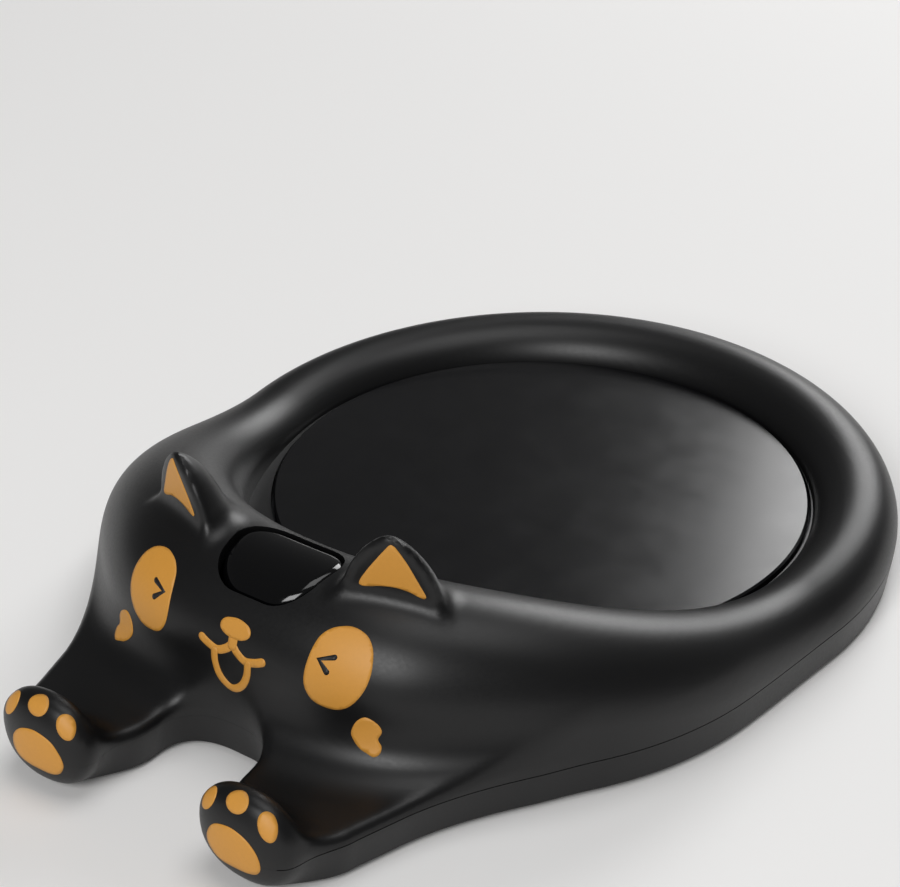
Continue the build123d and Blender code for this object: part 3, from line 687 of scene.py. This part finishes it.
# Extruded sleeves: smooth and satin along their length.
BLACK_PVC = Finish("extruded_black_pvc", "#1C1C1E", 0.45, grain_mm=0.8, mottle=0.1)
WHITE_SILICONE = Finish("extruded_white_silicone", "#DDDBD3", 0.5, grain_mm=0.8, mottle=0.05)
# Dipped bead: dark, smooth and wet-looking.
SENSOR_EPOXY = Finish("dipped_sensor_epoxy", "#26262B", 0.25, grain_mm=0.6, mottle=0.1)
# Pressed steatite: unglazed, chalky off-white.
CERAMIC = Finish("pressed_steatite", "#CFCABC", 0.7, grain_mm=0.3, mottle=0.06)

NODE_FINISHES: dict[str, Finish] = {
    "rubber_feet": RUBBER,
    "case_screws": ZINC_SCREW,
    "heating_plate": PLATE_ENAMEL,
    "heater_foil": POLYIMIDE,
    "insulation_pad": FELT,
    "plate_gasket": SILICONE,
    "plate_carrier": NYLON,
    "temperature_sensor": SENSOR_EPOXY,
    "thermal_cutoff": CERAMIC,
    "heat_shield": ALUMINIUM_FOIL,
    "load_switch_body": SWITCH_NYLON,
    "load_switch_plunger": ACETAL,
    "tact_switch_body": SWITCH_NYLON,
    "tact_switch_plunger": ACETAL,
    "control_board": SOLDER_MASK,
    "board_screws": ZINC_SCREW,
    "indicator_leds": LED_RESIN,
    "microcontroller": EPOXY,
    "power_transistor": EPOXY,
    "capacitor": DRAWN_CAN,
    "lead_socket": WHITE_NYLON,
    "dc_inlet_body": SWITCH_NYLON,
    "dc_inlet_pin": BRASS,
    "inlet_tabs": TINNED_BRASS,
    "inlet_leads": BLACK_PVC,
    "heater_leads": WHITE_SILICONE,
}


def dress(piece: Piece, finish: Finish) -> None:
    """Give a whole piece one finish."""
    piece.data.materials.clear()
    piece.data.materials.append(finish.build())


def dress_nodes() -> None:
    """Give every node that stays in view its own finish."""
    for name, finish in NODE_FINISHES.items():
        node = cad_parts[name]
        for slot in node.material_slots:
            slot.material = finish.build()
        log.info("node %s: %s", name, finish.name)


# ---------------------------------------------------------------- shells

@dataclass
class KeyShape:
    """Plan of the power key between the ears, and its edges."""

    rear: float = -57.2
    front: float = -70.4
    rear_half: float = 9.3
    front_half: float = 7.2
    corner: float = 5.2
    clearance: float = 0.3
    inset: float = 0.3
    thickness: float = 2.0
    edge: float = 1.5
    stem_radius: float = 2.2
    stem_foot: float = 20.6

    def distance(self, point: Array) -> Array:
        """Distance from the key's upright side, negative inside."""
        slope = (self.rear_half - self.front_half) / (self.rear - self.front)
        lean = math.hypot(1, slope)
        x, y = np.abs(point[..., 0]), point[..., 1]
        rear, front = self.rear - self.corner, self.front + self.corner
        side = (x - self.front_half - slope * (y - self.front)) / lean + self.corner
        end = np.maximum(y - rear, front - y)
        corner = np.hypot(np.maximum(side, 0), np.maximum(end, 0))
        return corner + np.minimum(np.maximum(side, end), 0) - self.corner

    def outline(self, grow: float, arc_steps: int = 10) -> Outline:
        """Rounded outline, counter-clockwise, its sides moved outwards by grow."""
        rear, front = self.rear + grow, self.front - grow
        corners = [(-self.front_half - grow, front), (self.front_half + grow, front),
                   (self.rear_half + grow, rear), (-self.rear_half - grow, rear)]
        return round_corners(corners, self.corner + grow, arc_steps)


def round_corners(corners: Outline, radius: float, steps: int) -> Outline:
    """Closed outline with each corner turned into an arc.

    Args:
        corners: Corner points, counter-clockwise.
        radius: Radius of every arc.
        steps: Number of runs in each arc.

    Returns:
        Points of the rounded outline.
    """
    outline = []
    count = len(corners)
    for i in range(count):
        here = Vector(corners[i])
        before = (Vector(corners[i - 1]) - here).normalized()
        after = (Vector(corners[(i + 1) % count]) - here).normalized()
        half = before.angle(after) / 2
        centre = here + (before + after).normalized() * (radius / math.sin(half))
        start = here + before * (radius / math.tan(half)) - centre
        sweep = math.pi - 2 * half
        for step in range(steps + 1):
            turned = Matrix.Rotation(sweep * step / steps, 2) @ start
            outline.append((centre.x + turned.x, centre.y + turned.y))
    return outline


@dataclass
class Shells:
    """Top cover, base cover and power key, all cut from the same skin."""

    form: CatForm = field(default_factory=CatForm)
    key: KeyShape = field(default_factory=KeyShape)
    wall: float = 2.0
    seam: float = 6.2
    seam_gap: float = 0.16
    floor_top: float = 2.4
    pan_radius: float = 52.9
    deck_thickness: float = 1.8
    deck_radius: float = 46.6
    deck_shift: float = -4.6
    well_top: float = 20.0
    key_floor: float = 15.0
    skin_step: float = 0.62
    cavity_step: float = 1.3
    lens_step: float = 0.2
    hairline: float = 0.01
    paw_side: float = 24.0
    paw_back: float = -66.0
    inlet_radius: float = 2.8
    inlet_height: float = 5.4
    inlet_depth: float = 4.0
    foot_pitch: float = 47.0
    foot_angles: tuple[int, ...] = (62, 118, 198, 342)
    foot_seat_radius: float = 4.05
    foot_seat_top: float = 1.62
    screw_pitch: float = 50.5
    screw_angles: tuple[int, ...] = (42, 138, 214, 326)
    counterbore_radius: float = 2.1
    counterbore_top: float = 2.92
    screw_hole_radius: float = 1.3
    hole_sides: int = 48
    margin: float = 1.0
    below: float = 2.5
    low: Place = (-60.0, -99.0, -4.0)
    high: Place = (60.0, 60.0, 44.0)
    tool_low: Place = (-80.0, -120.0, 0.0)
    tool_high: Place = (80.0, 80.0, 80.0)

    def solid(self, name: str, wall: float, step: float) -> Piece:
        """Closed solid of the whole cat, moved in by a wall and reaching below its underside."""
        def bounded(point: Array) -> Array:
            return np.maximum(self.form.distance(point) + wall, -self.below - point[..., 2])

        return field_piece(name, bounded, self.low, self.high, step)

    def slab(self, bottom: float, top: float) -> Piece:
        """Block as wide as the tools between two heights."""
        return block("slab_tool", (*self.tool_low[:2], bottom), (*self.tool_high[:2], top))

    def paw_fill(self, bottom: float, top: float) -> Piece:
        """Block round the paws, where the seam is closed to a hairline."""
        return block("fill_tool", (-self.paw_side, self.tool_low[1], bottom),
                     (self.paw_side, self.paw_back, top))

    def recesses(self) -> list[Piece]:
        """Tools for the feet's seats and the case screws' counterbores and holes."""
        leg_x, leg_y = self.form.leg.tip
        feet = around(self.foot_pitch, self.foot_angles) + [(-leg_x, leg_y), (leg_x, leg_y)]
        tools = [self.disc(place, self.foot_seat_radius, self.foot_seat_top) for place in feet]
        for place in around(self.screw_pitch, self.screw_angles):
            tools.append(self.disc(place, self.counterbore_radius, self.counterbore_top))
            tools.append(self.disc(place, self.screw_hole_radius, self.seam))
        return tools

    def disc(self, place: Spot, radius: float, top: float) -> Piece:
        """Upright disc from the table up to a height."""
        return prism("disc_tool", circle(radius, place, self.hole_sides), 0.0, top)

    def inlet_mouth(self) -> Piece:
        """Round tool that opens the tail end for the supply plug, half of it outside."""
        outline = circle(self.inlet_radius, sides=self.hole_sides)
        mouth = prism("inlet_tool", outline, 0.0, 2 * self.inlet_depth, smooth=True)
        start = (self.form.ring.ring_radius - self.inlet_depth) * MM
        mouth.data.transform(Matrix.Translation((0, -plate_axis_y(), 0)))
        mouth.data.transform(Matrix.Rotation(math.radians(-90), 4, "X"))
        mouth.data.transform(Matrix.Translation((0, plate_axis_y() + start, self.inlet_height * MM)))
        return mouth

    def top_cover(self, skin: Piece, cavity: Piece, mouth: Piece) -> Piece:
        """Upper moulding: the skin above the seam, with the deck round the plate.

        Args:
            skin: Solid of the whole cat.
            cavity: Solid of the hollow inside the walls.
            mouth: Tool of the inlet.

        Returns:
            The moulding.
        """
        top = copy_piece(skin, "top_moulding")
        combine(top, cavity, Cut.TAKE, drop=False)
        deck = prism("deck_tool", circle(self.deck_radius, (0.0, self.deck_shift)), self.seam,
                     self.seam + self.deck_thickness)
        combine(deck, prism("well_tool", circle(self.form.ring.well_radius), 0.0, self.well_top), Cut.TAKE)
        combine(top, deck, Cut.JOIN)
        above = self.slab(self.seam + self.seam_gap / 2, self.tool_high[2])
        combine(above, self.paw_fill(self.seam + self.hairline, self.seam + self.margin), Cut.JOIN)
        combine(top, above, Cut.KEEP)
        opening = self.key.outline(self.key.clearance)
        combine(top, prism("key_tool", opening, self.key_floor, self.tool_high[2]), Cut.TAKE)
        combine(top, mouth, Cut.TAKE, drop=False)
        return top

    def base_cover(self, skin: Piece, cavity: Piece, mouth: Piece) -> Piece:
        """Lower moulding: the skin below the seam with a floor, its recesses cut in.

        Args:
            skin: Solid of the whole cat.
            cavity: Solid of the hollow inside the walls.
            mouth: Tool of the inlet.

        Returns:
            The moulding.
        """
        base = copy_piece(skin, "base_moulding")
        combine(base, prism("pan_tool", circle(self.pan_radius), 0.0, self.seam), Cut.JOIN)
        room = copy_piece(cavity, "room_tool")
        inner = circle(self.pan_radius - self.hairline)
        combine(room, prism("pan_tool", inner, 0.0, self.seam + self.margin), Cut.JOIN)
        combine(room, self.slab(self.floor_top, self.tool_high[2]), Cut.KEEP)
        combine(base, room, Cut.TAKE)
        span = self.slab(self.form.ring.underside, self.seam - self.seam_gap / 2)
        combine(span, self.paw_fill(self.seam - self.margin, self.seam - self.hairline), Cut.JOIN)
        combine(base, span, Cut.KEEP)
        for recess in self.recesses():
            combine(base, recess, Cut.TAKE)
        combine(base, mouth, Cut.TAKE, drop=False)
        return base

    def lens(self) -> Piece:
        """Lens of the power key: a curved slab with rounded edges, on a stem."""
        key = self.key
        middle = (key.rear + key.front) / 2

        def body_and_stem(point: Array) -> Array:
            under_skin = self.form.ring.distance(point) + key.inset
            body = smooth_max(under_skin, key.distance(point), key.edge)
            body = np.maximum(body, -under_skin - key.thickness)
            stem = np.hypot(point[..., 0], point[..., 1] - middle) - key.stem_radius
            stem = np.maximum(stem, under_skin + key.thickness / 2)
            return np.minimum(body, np.maximum(stem, key.stem_foot - point[..., 2]))

        margin = self.margin
        low = (-key.rear_half - margin, key.front - margin, key.stem_foot - margin)
        high = (key.rear_half + margin, key.rear + margin, self.form.ring.head_height + margin)
        return field_piece("power_lens", body_and_stem, low, high, self.lens_step)

    def build(self) -> dict[str, Piece]:
        """Make the three mouldings.

        Returns:
            The pieces by name.
        """
        tools = (self.solid("skin_tool", 0.0, self.skin_step),
                 self.solid("cavity_tool", self.wall, self.cavity_step), self.inlet_mouth())
        pieces = {"top": self.top_cover(*tools), "base": self.base_cover(*tools), "key": self.lens()}
        for tool in tools:
            bpy.data.objects.remove(tool)
        for piece in pieces.values():
            soften(piece)
        return pieces


# ---------------------------------------------------------------- springs

@dataclass
class CarrierSprings:
    """Three conical wire springs, which flatten as the heating plate goes down; the piece keeps the height
    of the frame's springs.
    """

    count: int = 3
    pitch: float = 30.0
    foot_radius: float = 4.2
    top_radius: float = 2.4
    wire: float = 0.4
    turns: float = 2.5
    turn_steps: int = 24
    sides: int = 10

    def coil(self, bearing: float, low: float, high: float) -> Array:
        """Rings of points along one wire.

        Args:
            bearing: Direction of the spring from the plate's axis, in degrees.
            low: Height of its foot.
            high: Height of its top.

        Returns:
            Points, one ring of the wire per row.
        """
        share = np.linspace(0, 1, round(self.turns * self.turn_steps) + 1)[:, None]
        turn = 2 * math.pi * self.turns * share
        section = np.linspace(0, 2 * math.pi, self.sides, endpoint=False)[None, :]
        half = self.wire / 2
        reach = mix(self.foot_radius, self.top_radius, share) + half * np.cos(section)
        height = mix(low + half, high - half, share) + half * np.sin(section)
        ((x, y),) = around(self.pitch, [bearing])
        return np.stack([x + reach * np.cos(turn), y + reach * np.sin(turn), height], -1)

    def build(self) -> Piece:
        """Make the springs as one piece, at the height of the frame's springs."""
        low, high = (corner[2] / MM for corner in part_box("carrier_springs"))
        points, faces = [], []
        for number in range(self.count):
            rings = self.coil(90 + number * 360 / self.count, low, high)
            first = number * rings.shape[0] * self.sides
            for ring in range(rings.shape[0] - 1):
                start = first + ring * self.sides
                for side in range(self.sides):
                    after = (side + 1) % self.sides
                    faces.append((start + side, start + self.sides + side,
                                  start + self.sides + after, start + after))
            last = first + (rings.shape[0] - 1) * self.sides
            faces.append(tuple(range(first, first + self.sides)))
            faces.append(tuple(reversed(range(last, last + self.sides))))
            points.append(rings.reshape(-1, 3))
        springs = make_piece("spring_coils", np.concatenate(points), faces)
        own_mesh(springs)
        return springs


# ---------------------------------------------------------------- printed features

class Chart(Protocol):
    """Flat chart of a printed area, laid over the skin."""

    def place(self, across: Array, up: Array) -> tuple[Array, Array]:
        """Points near the skin and the outward directions there.

        Args:
            across: Distance from the middle of the area.
            up: Distance up the area.

        Returns:
            Points and unit directions.
        """


@dataclass
class FaceChart:
    """Chart of the face: across in x, up along the curve of the head."""

    form: CatForm
    turn_height: float = 16.1
    turn_radius: float = 12.5
    most_turn: float = 2.2

    def place(self, across: Array, up: Array) -> tuple[Array, Array]:
        """Points near the face and the outward directions there."""
        ring = self.form.ring
        front = ring.face_shift + np.sqrt(ring.face_radius ** 2 - across ** 2)
        turn = np.clip((up - self.turn_height) / self.turn_radius, 0, self.most_turn)
        height = np.where(up < self.turn_height, up, self.turn_height + self.turn_radius * np.sin(turn))
        depth = -(front - self.turn_radius * (1 - np.cos(turn)))
        way = np.stack([0 * across, -np.cos(turn), np.sin(turn)], -1)
        return np.stack([across, depth, height], -1), way


@dataclass
class PawChart:
    """Chart of a paw's sole, seen from in front and above, its middle on the paw's."""

    form: CatForm
    side: int
    tilt: float = 30.0

    def place(self, across: Array, up: Array) -> tuple[Array, Array]:
        """Points near the sole and the outward directions there."""
        centre = self.form.paw.centre
        turn = math.radians(self.tilt)
        point = np.stack([self.side * (centre[0] + across), centre[1] + up * math.sin(turn),
                          centre[2] + up * math.cos(turn)], -1)
        return point, np.broadcast_to((0, -math.cos(turn), math.sin(turn)), point.shape)


@dataclass
class EarChart:
    """Chart of the front of an ear: outwards across, up in height."""

    form: CatForm
    side: int

    def place(self, across: Array, up: Array) -> tuple[Array, Array]:
        """Points near the ear's front and the outward directions there."""
        ear = self.form.ear
        turn = math.radians(ear.yaw)
        ahead = (up - ear.place[2]) * math.tan(math.radians(ear.lean))
        x = ear.place[0] + across * math.cos(turn) + ahead * math.sin(turn)
        y = ear.place[1] + across * math.sin(turn) - ahead * math.cos(turn)
        point = np.stack([self.side * x, y, up], -1)
        return point, np.broadcast_to((self.side * math.sin(turn), -math.cos(turn), 0), point.shape)


def spline(points: Outline, closed: bool, steps: int = 8) -> Outline:
    """Smooth curve through points, by a Catmull-Rom spline.

    Args:
        points: The points, in order.
        closed: Whether the curve runs back to the first point.
        steps: Number of runs between two points.

    Returns:
        Points along the curve, an open one with its last point.
    """
    count = len(points)
    curve = []
    for i in range(count if closed else count - 1):
        near = [i + k if closed else min(max(i + k, 0), count - 1) for k in (-1, 0, 1, 2)]
        p0, p1, p2, p3 = (Vector(points[k % count]) for k in near)
        for step in range(steps):
            t = step / steps
            spot = 0.5 * (2 * p1 + (p2 - p0) * t + (2 * p0 - 5 * p1 + 4 * p2 - p3) * t ** 2
                          + (3 * p1 - p0 - 3 * p2 + p3) * t ** 3)
            curve.append((spot.x, spot.y))
    return curve if closed else curve + [points[-1]]


def stroke(points: Outline, width: float, cap_steps: int = 8) -> Outline:
    """Closed outline of a round-ended stroke along a path."""
    path = [Vector(p) for p in points]
    half = width / 2
    left, right = [], []
    for i, spot in enumerate(path):
        run = (path[min(i + 1, len(path) - 1)] - path[max(i - 1, 0)]).normalized()
        side = Vector((-run.y, run.x)) * half
        left.append(spot + side)
        right.append(spot - side)
    outline = list(right)
    for spot, edge in ((path[-1], right[-1]), (path[0], left[0])):
        for step in range(1, cap_steps):
            outline.append(spot + Matrix.Rotation(math.pi * step / cap_steps, 2) @ (edge - spot))
        if spot is path[-1]:
            outline.extend(reversed(left))
    return [(p.x, p.y) for p in outline]


def both_sides(points: Marks) -> Outline:
    """Path from its end on the right, over the middle line, to the end on the left."""
    return [(-x, y) for x, y in reversed(points[1:])] + list(points)


def on_side(points: Marks, side: int) -> Outline:
    """Points of one side of the face, mirrored for the other."""
    return [(side * x, y) for x, y in points]


@dataclass
class Oval:
    """Ellipse of a toe: middle, half length, half width and the tilt of its length in degrees."""

    centre: Spot
    half_long: float
    half_wide: float
    tilt: float

    def outline(self, steps: int = 40) -> Outline:
        """Points round the ellipse, counter-clockwise."""
        turn = Matrix.Rotation(math.radians(self.tilt), 2)
        spots = []
        for step in range(steps):
            angle = 2 * math.pi * step / steps
            spot = turn @ Vector((self.half_long * math.cos(angle), self.half_wide * math.sin(angle)))
            spots.append((self.centre[0] + spot.x, self.centre[1] + spot.y))
        return spots


def inside_outline(outline: Array, spots: Array) -> Array:
    """Whether spots lie inside a closed outline, by the even-odd rule."""
    result = np.zeros(len(spots), dtype=bool)
    ahead = np.roll(outline, -1, axis=0)
    for (ax, ay), (bx, by) in zip(outline, ahead):
        if ay == by:
            continue
        crosses = (ay > spots[:, 1]) != (by > spots[:, 1])
        at_x = ax + (spots[:, 1] - ay) * (bx - ax) / (by - ay)
        result ^= crosses & (spots[:, 0] < at_x)
    return result


@dataclass
class PrintJob:
    """Prints an outline onto the skin as a thin layer of ink.

    The layer stands a film above the skin and sinks into it. Its inner points lie a pitch apart and
    a margin from the outline, and rays that start above the skin carry them onto it.
    """

    form: CatForm
    film: float = 0.05
    sink: float = 0.12
    pitch: float = 0.45
    margin: float = 0.2
    start: float = 12.0
    merge: float = 1e-5

    def layer(self, name: str, chart: Chart, outline: Outline, finish: Finish,
              lift: float = 0.0) -> Piece:
        """Make one ink patch.

        Args:
            name: The piece's name.
            chart: Chart that says where the outline lies.
            outline: Closed outline in the chart, in millimetres.
            finish: Ink of the patch.
            lift: Extra height above the skin.

        Returns:
            The ink piece.
        """
        border = np.array(outline)
        low, high = border.min(0), border.max(0)
        grid = np.stack(np.meshgrid(np.arange(low[0], high[0], self.pitch),
                                    np.arange(low[1], high[1], self.pitch)), -1).reshape(-1, 2)
        grid = grid[inside_outline(border, grid)]
        away = np.sqrt(((grid[:, None, :] - border[None, :, :]) ** 2).sum(-1)).min(1)
        grid = grid[away > self.margin]
        spots = [Vector(p) for p in np.concatenate([border, grid])]
        loop = list(range(len(border)))
        met, _, faces, _, _, _ = delaunay_2d_cdt(spots, [], [loop], 1, self.merge)
        flat = np.array([(p.x, p.y) for p in met])
        point, way = chart.place(flat[:, 0], flat[:, 1])
        top = self.form.land(point + way * self.start, -way, offset=self.film + lift)
        bottom = top - self.form.normal(top) * self.sink
        return self.closed(name, top, bottom, faces, finish)

    def closed(self, name: str, top: Array, bottom: Array, faces: list, finish: Finish) -> Piece:
        """Closed thin solid between an ink patch's face and its underside."""
        count = len(top)
        first = [top[i] for i in faces[0][:3]]
        normal = np.cross(first[1] - first[0], first[2] - first[0])
        outward = top[faces[0][0]] - bottom[faces[0][0]]
        if np.dot(normal, outward) < 0:
            faces = [f[::-1] for f in faces]
        edges = {(a, b): None for f in faces for a, b in zip(f, (*f[1:], f[0]))}
        border = [(a, b) for a, b in edges if (b, a) not in edges]
        solid = [tuple(f) for f in faces] + [tuple(count + i for i in reversed(f)) for f in faces]
        solid += [(b, a, count + a, count + b) for a, b in border]
        piece = make_piece(name, np.concatenate([top, bottom]), solid)
        dress(piece, finish)
        return piece


@dataclass
class FacePrints:
    """Eyes, nose, mouth, cheeks' hearts, ear triangles and soles."""

    job: PrintJob
    eye: Marks = ((12.1, 20.0), (12.2, 22.0), (12.45, 24.0), (12.9, 25.4), (13.9, 26.5), (15.2, 27.05),
                  (16.3, 27.2), (17.6, 26.9), (19.0, 26.1), (20.2, 24.6), (20.9, 22.7), (21.1, 21.0),
                  (20.8, 19.4), (20.0, 17.9), (18.8, 16.7), (17.2, 16.0), (15.6, 15.95), (14.0, 16.3),
                  (13.0, 17.1), (12.3, 18.4))
    wink: Marks = ((15.8, 22.8), (13.75, 22.15), (15.3, 20.75))
    wink_width: float = 0.78
    nose: Marks = ((0.0, 20.95), (1.5, 21.15), (2.5, 21.85), (2.5, 22.8), (1.7, 23.5), (0.0, 23.85))
    stem: Marks = ((0.0, 21.3), (0.0, 19.9))
    stem_width: float = 1.5
    lip: Marks = ((0.0, 19.9), (0.95, 19.1), (2.4, 18.35), (4.0, 18.65), (5.3, 19.2))
    lip_width: float = 1.25
    tongue: Marks = ((0.0, 12.95), (1.1, 13.4), (2.2, 14.6), (2.85, 16.3), (2.95, 18.0))
    tongue_width: float = 1.15
    heart: Marks = ((19.6, 13.3), (20.1, 14.9), (21.3, 15.8), (22.8, 15.1), (23.5, 14.0), (23.2, 12.9),
                    (23.8, 12.0), (23.8, 11.1), (23.2, 10.7), (22.2, 11.0), (21.2, 11.4), (20.2, 12.2))
    sole: Marks = ((-4.9, -2.6), (-4.6, -1.5), (-3.6, -0.2), (-2.2, 0.45), (-0.4, 0.7), (1.2, 0.45),
                   (2.6, -0.15), (3.7, -1.2), (4.2, -2.4), (4.1, -3.6), (3.2, -4.5), (1.5, -4.85),
                   (-0.5, -4.9), (-2.4, -4.85), (-3.8, -4.35), (-4.6, -3.5))
    toes: dict[str, Oval] = field(default_factory=lambda: {
        "inner": Oval((-5.05, 2.9), 1.8, 1.2, 63.0),
        "middle": Oval((-0.15, 4.23), 1.72, 1.48, 0.0),
        "outer": Oval((4.85, 2.8), 2.0, 1.2, -63.0),
    })
    ear_patch: Marks = ((0.0, 37.25), (-0.7, 36.4), (-2.0, 34.6), (-3.4, 32.5), (-4.4, 30.7), (-4.2, 30.05),
                        (-3.0, 30.1), (-1.3, 30.4), (0.6, 30.45), (2.4, 30.1), (3.8, 29.5), (4.6, 29.35),
                        (4.75, 29.85), (4.0, 31.4), (2.4, 34.6), (1.1, 36.6), (0.5, 37.2))
    overlap: float = 0.015

    def mouth(self, chart: FaceChart) -> list[Piece]:
        """Nose, stem, lip and tongue, each a little above the one it crosses."""
        outlines = {
            "lip": stroke(spline(both_sides(self.lip), closed=False), self.lip_width),
            "tongue": stroke(spline(both_sides(self.tongue), closed=False), self.tongue_width),
            "stem": stroke(list(self.stem), self.stem_width),
            "nose": spline(both_sides(self.nose[:-1]) + [self.nose[-1]], closed=True),
        }
        return [self.job.layer(f"{word}_print", chart, outline, ORANGE_INK, order * self.overlap)
                for order, (word, outline) in enumerate(outlines.items())]

    def cheek(self, chart: FaceChart, side: int, word: str) -> list[Piece]:
        """Eye patch, its wink and the heart on one side of the face."""
        eye = spline(on_side(self.eye, side), closed=True)
        wink = stroke(on_side(self.wink, side), self.wink_width)
        heart = spline(on_side(self.heart, side), closed=True)
        return [self.job.layer(f"{word}_eye_print", chart, eye, ORANGE_INK),
                self.job.layer(f"{word}_wink_print", chart, wink, BLACK_INK, 2 * self.overlap),
                self.job.layer(f"{word}_heart_print", chart, heart, ORANGE_INK)]

    def build(self) -> list[Piece]:
        """Print every feature and return the ink pieces."""
        form = self.job.form
        face = FaceChart(form)
        inks = self.mouth(face)
        for side, word in ((1, "left"), (-1, "right")):
            inks += self.cheek(face, side, word)
            paw = PawChart(form, side)
            sole = spline(list(self.sole), closed=True)
            inks.append(self.job.layer(f"{word}_sole_print", paw, sole, ORANGE_INK))
            for place, toe in self.toes.items():
                inks.append(self.job.layer(f"{word}_{place}_toe_print", paw, toe.outline(), ORANGE_INK))
            ear = spline(list(self.ear_patch), closed=True)
            inks.append(self.job.layer(f"{word}_ear_print", EarChart(form, side), ear, ORANGE_INK))
        return inks


# ---------------------------------------------------------------- stage

@dataclass(frozen=True)
class Lamp:
    """Square soft lamp: place and size in metres, power in watts."""

    name: str
    place: Place
    size: float
    watts: float


@dataclass
class Stage:
    """Pale floor, soft lamps and the camera."""

    lamps: tuple[Lamp, ...] = (Lamp("top_lamp", (0.15, 0.1, 1.2), 0.8, 4.7),
                               Lamp("back_lamp", (-0.17, 0.96, 0.52), 0.5, 5.0),
                               Lamp("front_lamp", (0.25, -1.0, 0.75), 0.6, 9.0))
    aim: Place = (0.0, 0.0, 0.02)
    world_strength: float = 0.11
    lens: float = 95.0
    sensor: float = 36.0
    azimuth: float = 36.13
    elevation: float = 29.92
    shift: Place = (14.4, -14.4, 383.0)
    clip_start: float = 0.01
    floor_size: float = 6.0
    floor_colour: str = "#F4F3F2"
    floor_roughness: float = 0.7

    def camera(self) -> None:
        """Camera that stands where the object's views come from."""
        turn, lift = math.radians(self.azimuth), math.radians(self.elevation)
        right = Vector((math.cos(turn), math.sin(turn), 0))
        level = math.cos(lift)
        ahead = Vector((-math.sin(turn) * level, math.cos(turn) * level, -math.sin(lift)))
        up = right.cross(ahead)
        x, y, z = (value * MM for value in self.shift)
        origin = -(right * x + up * y + ahead * z) + Vector((0, plate_axis_y(), 0))
        data = bpy.data.cameras.new("camera")
        data.lens = self.lens
        data.sensor_width = self.sensor
        data.sensor_fit = "HORIZONTAL"
        data.clip_start = self.clip_start
        camera = bpy.data.objects.new("camera", data)
        rotation = Matrix((right, up, -ahead)).transposed()
        camera.matrix_world = Matrix.Translation(origin) @ rotation.to_4x4()
        bpy.context.scene.collection.objects.link(camera)
        bpy.context.scene.camera = camera

    def floor(self) -> None:
        """Pale floor under the object."""
        half = self.floor_size / 2
        mesh = bpy.data.meshes.new("floor")
        corners = [(-half, -half, 0), (half, -half, 0), (half, half, 0), (-half, half, 0)]
        mesh.from_pydata(corners, [], [(0, 1, 2, 3)])
        floor = bpy.data.objects.new("floor", mesh)
        bpy.context.scene.collection.objects.link(floor)
        material = bpy.data.materials.new("pale_floor_paint")
        material.use_nodes = True
        shader = material.node_tree.nodes["Principled BSDF"]
        shader.inputs["Base Color"].default_value = hex_linear(self.floor_colour)
        shader.inputs["Roughness"].default_value = self.floor_roughness
        mesh.materials.append(material)

    def lamp(self, lamp: Lamp) -> None:
        """Hang a lamp so that it points at the object."""
        data = bpy.data.lights.new(lamp.name, "AREA")
        data.shape = "SQUARE"
        data.size = lamp.size
        data.energy = lamp.watts
        piece = bpy.data.objects.new(lamp.name, data)
        piece.location = lamp.place
        way = Vector(self.aim) - Vector(lamp.place)
        piece.rotation_euler = way.to_track_quat("-Z", "Y").to_euler()
        bpy.context.scene.collection.objects.link(piece)

    def build(self) -> None:
        """Set up camera, floor, lamps and a dim, even world."""
        self.camera()
        self.floor()
        for lamp in self.lamps:
            self.lamp(lamp)
        world = bpy.data.worlds.new("white_room")
        world.use_nodes = True
        light = world.node_tree.nodes["Background"].inputs
        light["Color"].default_value = (1, 1, 1, 1)
        light["Strength"].default_value = self.world_strength
        bpy.context.scene.world = world
        bpy.context.scene.view_settings.view_transform = "Standard"


def main() -> None:
    """Build every piece, dress it and set the stage."""
    logging.basicConfig(level=logging.INFO, format="%(message)s")
    form = CatForm()
    pieces = Shells(form=form).build()
    dress(pieces["top"], SOFT_TOUCH)
    dress(pieces["base"], SOFT_TOUCH)
    dress(pieces["key"], TINTED_ACRYLIC)
    pieces["springs"] = CarrierSprings().build()
    dress(pieces["springs"], SPRING_WIRE)
    for word, node, body, slot in (("top", "top_cover", "shell", "soft_black"),
                                   ("base", "base_cover", "shell", "soft_black"),
                                   ("key", "power_key", "power_key", "gloss_black"),
                                   ("springs", "carrier_springs", "shell", "spring_steel")):
        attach(pieces[word], body)
        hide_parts(node)
        log.info("piece %s: %d faces", pieces[word].name, len(pieces[word].data.polygons))
    for ink in FacePrints(PrintJob(form)).build():
        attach(ink, "shell")
        log.info("piece %s: %d faces", ink.name, len(ink.data.polygons))
    dress_nodes()
    Stage().build()


if __name__ == "__main__":
    main()
